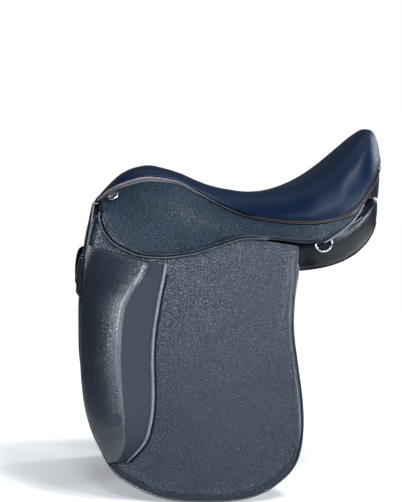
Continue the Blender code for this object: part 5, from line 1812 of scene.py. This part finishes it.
@dataclass
class GirthStraps:
    """Two girth straps a side, punched, with stitched heads.

    Attributes:
        tip: length of its pointed end, and of the blunt part of it.
        box: line of the stitches on the head, as distances across and down.
    """

    side: Side
    width: float = 0.025
    length: float = 0.300
    thickness: float = 0.0035
    border: Sequence[Point2] = (
        (0.0, -0.0007), (0.0006, -0.0001), (0.0014, 0.0), (0.0026, -0.0003), (0.0036, 0.0), (0.005, 0.0))
    tip: Point2 = (0.030, 0.006)
    hole: float = 0.0024
    holes: int = 9
    pitch: float = 0.022
    first: float = 0.090
    places: Sequence[tuple[str, float]] = (("front", 0.190), ("rear", 0.252))
    drop: float = 0.012
    box: Sequence[Point2] = (
        (-0.0085, 0.000), (-0.0085, 0.018), (0.0085, 0.018), (0.0085, 0.0), (0.0, -0.0085), (-0.0085, 0.0))
    thread: Point3 = (0.0035, 0.0024, 0.0003)

    def cut(self) -> LeatherCut:
        """The flat strap.

        Returns:
            The cut leather, with its pivot at 0, 0.
        """
        half = self.width / 2
        taper, blunt = self.tip
        head = [(half * math.cos(t), -half * math.sin(t)) for t in stations(0.0, math.pi, 16)]
        tip = [(-half, self.length - taper), (-half * 0.45, self.length - blunt), (0.0, self.length),
               (half * 0.45, self.length - blunt), (half, self.length - taper)]
        punched = [[(self.hole * math.cos(t), self.first + n * self.pitch + self.hole * math.sin(t))
                    for t in turns(12)] for n in range(self.holes)]
        return LeatherCut(head + tip, self.border, self.thickness, holes=punched, step=0.004, grid=0.008)

    def build(self) -> None:
        """Build and dress both straps of this side."""
        bend = BENDS[self.side]
        label = self.side.label
        cut = self.cut()
        pull = Vector((0.0, 0.0, -1.0))
        lean = math.atan2(pull.dot(bend.along), pull.dot(bend.down))
        down = bend.down * math.cos(lean) + bend.along * math.sin(lean)
        across = bend.along * math.cos(lean) - bend.down * math.sin(lean)
        for word, along in self.places:
            pivot = bend.point(along, self.drop, FLAP_BACK - 0.001)
            body = f"billet_{word}_{label}"

            def place(a: float, d: float, h: float) -> Vector:
                """Point on this strap, at a height over its face."""
                return pivot + across * a + down * d + bend.out * h

            strap = cut.build(f"girth_strap_{word}_{label}", place)
            dress(strap, Finish.STRAP, body, "strap_leather", (body,))
            line = [place(a, d, 0.0002) for a, d in self.box]
            dress(stitches(f"strap_stitches_{word}_{label}", line, *self.thread), Finish.GREY_THREAD, body)
        LOG.info("girth straps %s", label)


@dataclass
class Dees:
    """Chrome dees: one at the pommel and one under the rear edge of the skirt, on each side.

    Attributes:
        holder: thickness of the clip or loop that a dee hangs in.
        front_spot: place along the saddle and share of the skirt's run at the front dee.
        front_size: width and wire radius of the front dee.
    """

    side: Side
    holder: float = 0.0016
    front_spot: Point2 = (-0.194, 0.32)
    rear_spot: Point2 = (0.1365, 0.84)
    front_size: Point2 = (0.020, 0.0018)
    rear_size: Point2 = (0.030, 0.0016)

    def frame_at(self, spot: Point2, depth: float, hanging: bool) -> Matrix:
        """Frame on or under the skirt.

        Args:
            spot: place along the saddle, and share of the skirt's run from its seam.
            depth: distance below the skirt's face.
            hanging: whether Z is upright, as for what hangs free, and not up the skirt's slope.
        Returns:
            The frame, with X along the skirt.
        """
        x, v = spot
        along = FORM.skirt_point(self.side, x + 0.01, v) - FORM.skirt_point(self.side, x - 0.01, v)
        along.normalize()
        rise = Vector((0.0, 0.0, 1.0))
        if not hanging:
            rise = FORM.skirt_point(self.side, x, v - 0.1) - FORM.skirt_point(self.side, x, v + 0.1)
        up = (rise - along * rise.dot(along)).normalized()
        made = Matrix((along, up.cross(along), up)).transposed().to_4x4()
        made.translation = FORM.skirt_point(self.side, x, v, depth)
        return made

    @staticmethod
    def path(width: float, wire: float) -> list[Vector]:
        """A D in its own plane: a straight bar at the top and a round bow below it.

        Args:
            width: outer width.
            wire: radius of the wire.
        Returns:
            Points of the wire's centre line.
        """
        half = width / 2 - wire
        corner = half * 0.25
        line = [Vector((t * (half - corner), 0.0, 0.0)) for t in stations(-1.0, 1.0, 8)]
        return line + [Vector((half * math.cos(t), 0.0, -corner - half * 1.05 * math.sin(t)))
                       for t in stations(0.0, math.pi, 28)]

    def build(self) -> None:
        """Build and dress both dees of this side."""
        label = self.side.label
        front = -(self.front_size[1] + RUNNING + self.holder + SOFT_TOUCH)
        rear = SKIRT_THICKNESS + self.rear_size[1] + RUNNING + self.holder + 2 * SOFT_TOUCH
        for word, spot, size, depth, hanging in (
                ("front", self.front_spot, self.front_size, front, False),
                ("rear", self.rear_spot, self.rear_size, rear, True)):
            place = self.frame_at(spot, depth, hanging)
            path = [place @ p for p in self.path(*size)]
            ring = tube(f"{word}_ring_{label}", path, size[1], sides=14, closed=True)
            dress(ring, Finish.CHROME, f"{word}_dee_{label}", "chrome", (f"{word}_dee_{label}",))
        LOG.info("dees %s", label)


class Hidden:
    """Pieces that keep the solids' shape, in their real finish: tree, steel, webs and small metal."""

    HARD = {"tree": Finish.WOOD, "front_dee_clip": Finish.CHROME} | dict.fromkeys(
        ("gullet_plate", "spring_steel", "stirrup_bar", "bar_catch", "bar_rivet", "catch_pin"), Finish.STEEL)
    SOFT = {"girth_web": (Finish.WEB, "webbing"), "seat_web": (Finish.WEB, "webbing"),
            "channel_lining": (Finish.SMOOTH, "smooth_leather"),
            "rear_dee_loop": (Finish.STRAP, "strap_leather")}

    @staticmethod
    def rounded(thing: Thing, width: float, angle: float) -> None:
        """Round an object's edges.

        Args:
            thing: the object.
            width: the rounding's width.
            angle: edges sharper than this, in degrees, are rounded.
        """
        bevel = thing.modifiers.new("edge", "BEVEL")
        bevel.width = width
        bevel.segments = 2
        bevel.angle_limit = math.radians(angle)

    def softened(self, node: str) -> Thing:
        """Copy of a thin solid with its hard edges rounded.

        Args:
            node: the solid's name.
        Returns:
            The copy.
        """
        mesh = frame["nodes"][node].data.copy()
        mesh.name = f"{node}_soft"
        bm = bmesh.new()
        bm.from_mesh(mesh)
        bmesh.ops.remove_doubles(bm, verts=bm.verts, dist=1e-5)
        bmesh.ops.join_triangles(bm, faces=bm.faces, angle_face_threshold=0.7, angle_shape_threshold=0.7)
        bm.to_mesh(mesh)
        bm.free()
        mesh.shade_smooth()
        thing = put(mesh.name, mesh)
        self.rounded(thing, 0.0004, 50.0)
        return thing

    def build(self) -> None:
        """Dress every node that still shows."""
        bodies = frame["record"]["behaviour"]["bodies"]
        owner = {node: body for body, nodes in bodies.items() for node in nodes}
        for node, thing in frame["nodes"].items():
            for stem, finish in self.HARD.items():
                if node.startswith(stem):
                    thing.data.materials.clear()
                    thing.data.materials.append(finish.material())
                    self.rounded(thing, 0.0003, 40.0)
            for stem, (finish, slot) in self.SOFT.items():
                if node.startswith(stem):
                    dress(self.softened(node), finish, owner[node], slot, (node,))
        LOG.info("tree, steel, webs and lining")


@dataclass(frozen=True)
class Lamp:
    """A rectangular soft light.

    Attributes:
        target: the point that it faces.
        power: its power in watts.
    """

    name: str
    spot: Point3
    target: Point3
    size: Point2
    power: float
    colour: Point3 = (0.86, 0.93, 1.0)

    def hang(self) -> None:
        """Add the light."""
        data = bpy.data.lights.new(self.name, "AREA")
        data.shape = "RECTANGLE"
        data.size, data.size_y = self.size
        data.energy = self.power
        data.color = self.colour
        aim(put(self.name, data), self.spot, self.target)


@dataclass(frozen=True)
class Studio:
    """Plain pale floor, white background, soft lights and the camera at the photo's angle.

    Attributes:
        glow: distances from the middle between which the floor starts to glow and glows fully.
    """

    ground: float
    target: Point3 = (-0.04524, 0.0, -0.03508)
    azimuth: float = -5.0
    elevation: float = 3.0
    distance: float = 2.6
    lens: float = 111.65
    sensor: float = 36.0
    far: float = 40.0
    ambient: Point3 = (0.035, 0.045, 0.06)
    glossy: float = 0.07
    reach: float = 3.0
    squares: int = 12
    glow: Point2 = (0.20, 1.0)
    lamps: Sequence[Lamp] = (
        Lamp("key", (0.42, -1.4, 0.85), (0.0, 0.0, -0.05), (0.35, 0.3), 12.0),
        Lamp("glow", (-0.25, -1.28, 0.50), (-0.06, 0.0, -0.02), (0.25, 0.2), 7.5),
        Lamp("above", (0.55, -0.95, 1.9), (0.0, 0.0, -0.05), (0.3, 0.25), 27.0),
        Lamp("right", (1.1, -1.2, 0.32), (0.12, -0.1, -0.12), (0.2, 0.4), 8.0),
        Lamp("side", (1.5, -0.55, -0.03), (0.2, -0.1, -0.03), (1.4, 0.1), 13.0),
        Lamp("rim", (1.5, 1.2, 0.8), (0.2, 0.0, 0.1), (0.3, 1.1), 16.0),
        Lamp("top", (0.0, 0.8, 2.3), (0.0, 0.0, 0.0), (1.6, 1.2), 7.0, (0.78, 0.89, 1.0)))

    def camera(self) -> None:
        """Place the camera."""
        a, e = math.radians(self.azimuth), math.radians(self.elevation)
        back = Vector((math.sin(a) * math.cos(e), -math.cos(a) * math.cos(e), math.sin(e)))
        data = bpy.data.cameras.new("camera")
        data.lens = self.lens
        data.sensor_width = self.sensor
        data.clip_end = self.far
        thing = put("camera", data)
        aim(thing, Vector(self.target) + back * self.distance, self.target)
        bpy.context.scene.camera = thing

    def floor(self) -> None:
        """A wide pale floor just under the flaps."""
        edges = stations(-self.reach, self.reach, self.squares)
        across = self.squares + 1
        faces = [(i * across + j, (i + 1) * across + j, (i + 1) * across + j + 1, i * across + j + 1)
                 for i in range(self.squares) for j in range(self.squares)]
        floor = add_mesh("studio_floor", [(x, y, self.ground) for x in edges for y in edges], faces)
        g = Graph("studio_paper")
        away = g.node("VectorMath", {0: g.place((1.0, 1.0, 0.0))}, operation="LENGTH").outputs["Value"]
        glow = g.ramp(away, *self.glow, 0.25, 1.0)
        glow = g.add(glow, g.node("LightPath").outputs["Is Camera Ray"], "MULTIPLY")
        floor.data.materials.append(g.finish(Base_Color=(0.93, 0.93, 0.93, 1.0), Roughness=0.95,
                                             Emission_Color=(1.0, 1.0, 1.0, 1.0), Emission_Strength=glow))
        floor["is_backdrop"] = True

    def world(self) -> None:
        """White to the camera, dim around the object."""
        world = bpy.data.worlds.new("studio")
        bpy.context.scene.world = world
        world.use_nodes = True
        tree = world.node_tree
        back = tree.nodes["Background"]
        seen = tree.nodes.new("ShaderNodeLightPath")
        mixed = tree.nodes.new("ShaderNodeMix")
        mixed.data_type = "RGBA"
        mixed.inputs[6].default_value = (*self.ambient, 1.0)
        mixed.inputs[7].default_value = (1.0, 1.0, 1.0, 1.0)
        share = seen.outputs["Is Camera Ray"]
        for ray, part in (("Is Glossy Ray", self.glossy), ("Is Transmission Ray", 1.0)):
            scaled = tree.nodes.new("ShaderNodeMath")
            scaled.operation = "MULTIPLY_ADD"
            scaled.inputs[1].default_value = part
            tree.links.new(seen.outputs[ray], scaled.inputs[0])
            tree.links.new(share, scaled.inputs[2])
            share = scaled.outputs[0]
        tree.links.new(share, mixed.inputs["Factor"])
        tree.links.new(mixed.outputs[2], back.inputs["Color"])

    def build(self) -> None:
        """Set up the studio."""
        bpy.context.scene.view_settings.view_transform = "Standard"
        self.camera()
        self.floor()
        self.world()
        for lamp in self.lamps:
            lamp.hang()
        LOG.info("studio: camera, floor and lights")


def main() -> None:
    """Build the saddle's looks and the studio around them."""
    logging.basicConfig(level=logging.INFO, format="%(message)s")
    solid_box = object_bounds()
    Studio(ground=solid_box[0][2] - 0.0008).build()
    Seat().build()
    for side in Side:
        for piece in (Skirt, Flap, KneeBlock, SweatFlap, GirthStraps, Dees):
            piece(side).build()
    Panels().build()
    Facings().build()
    Hidden().build()
    LOG.info("sizes written")


if __name__ == "__main__":
    main()
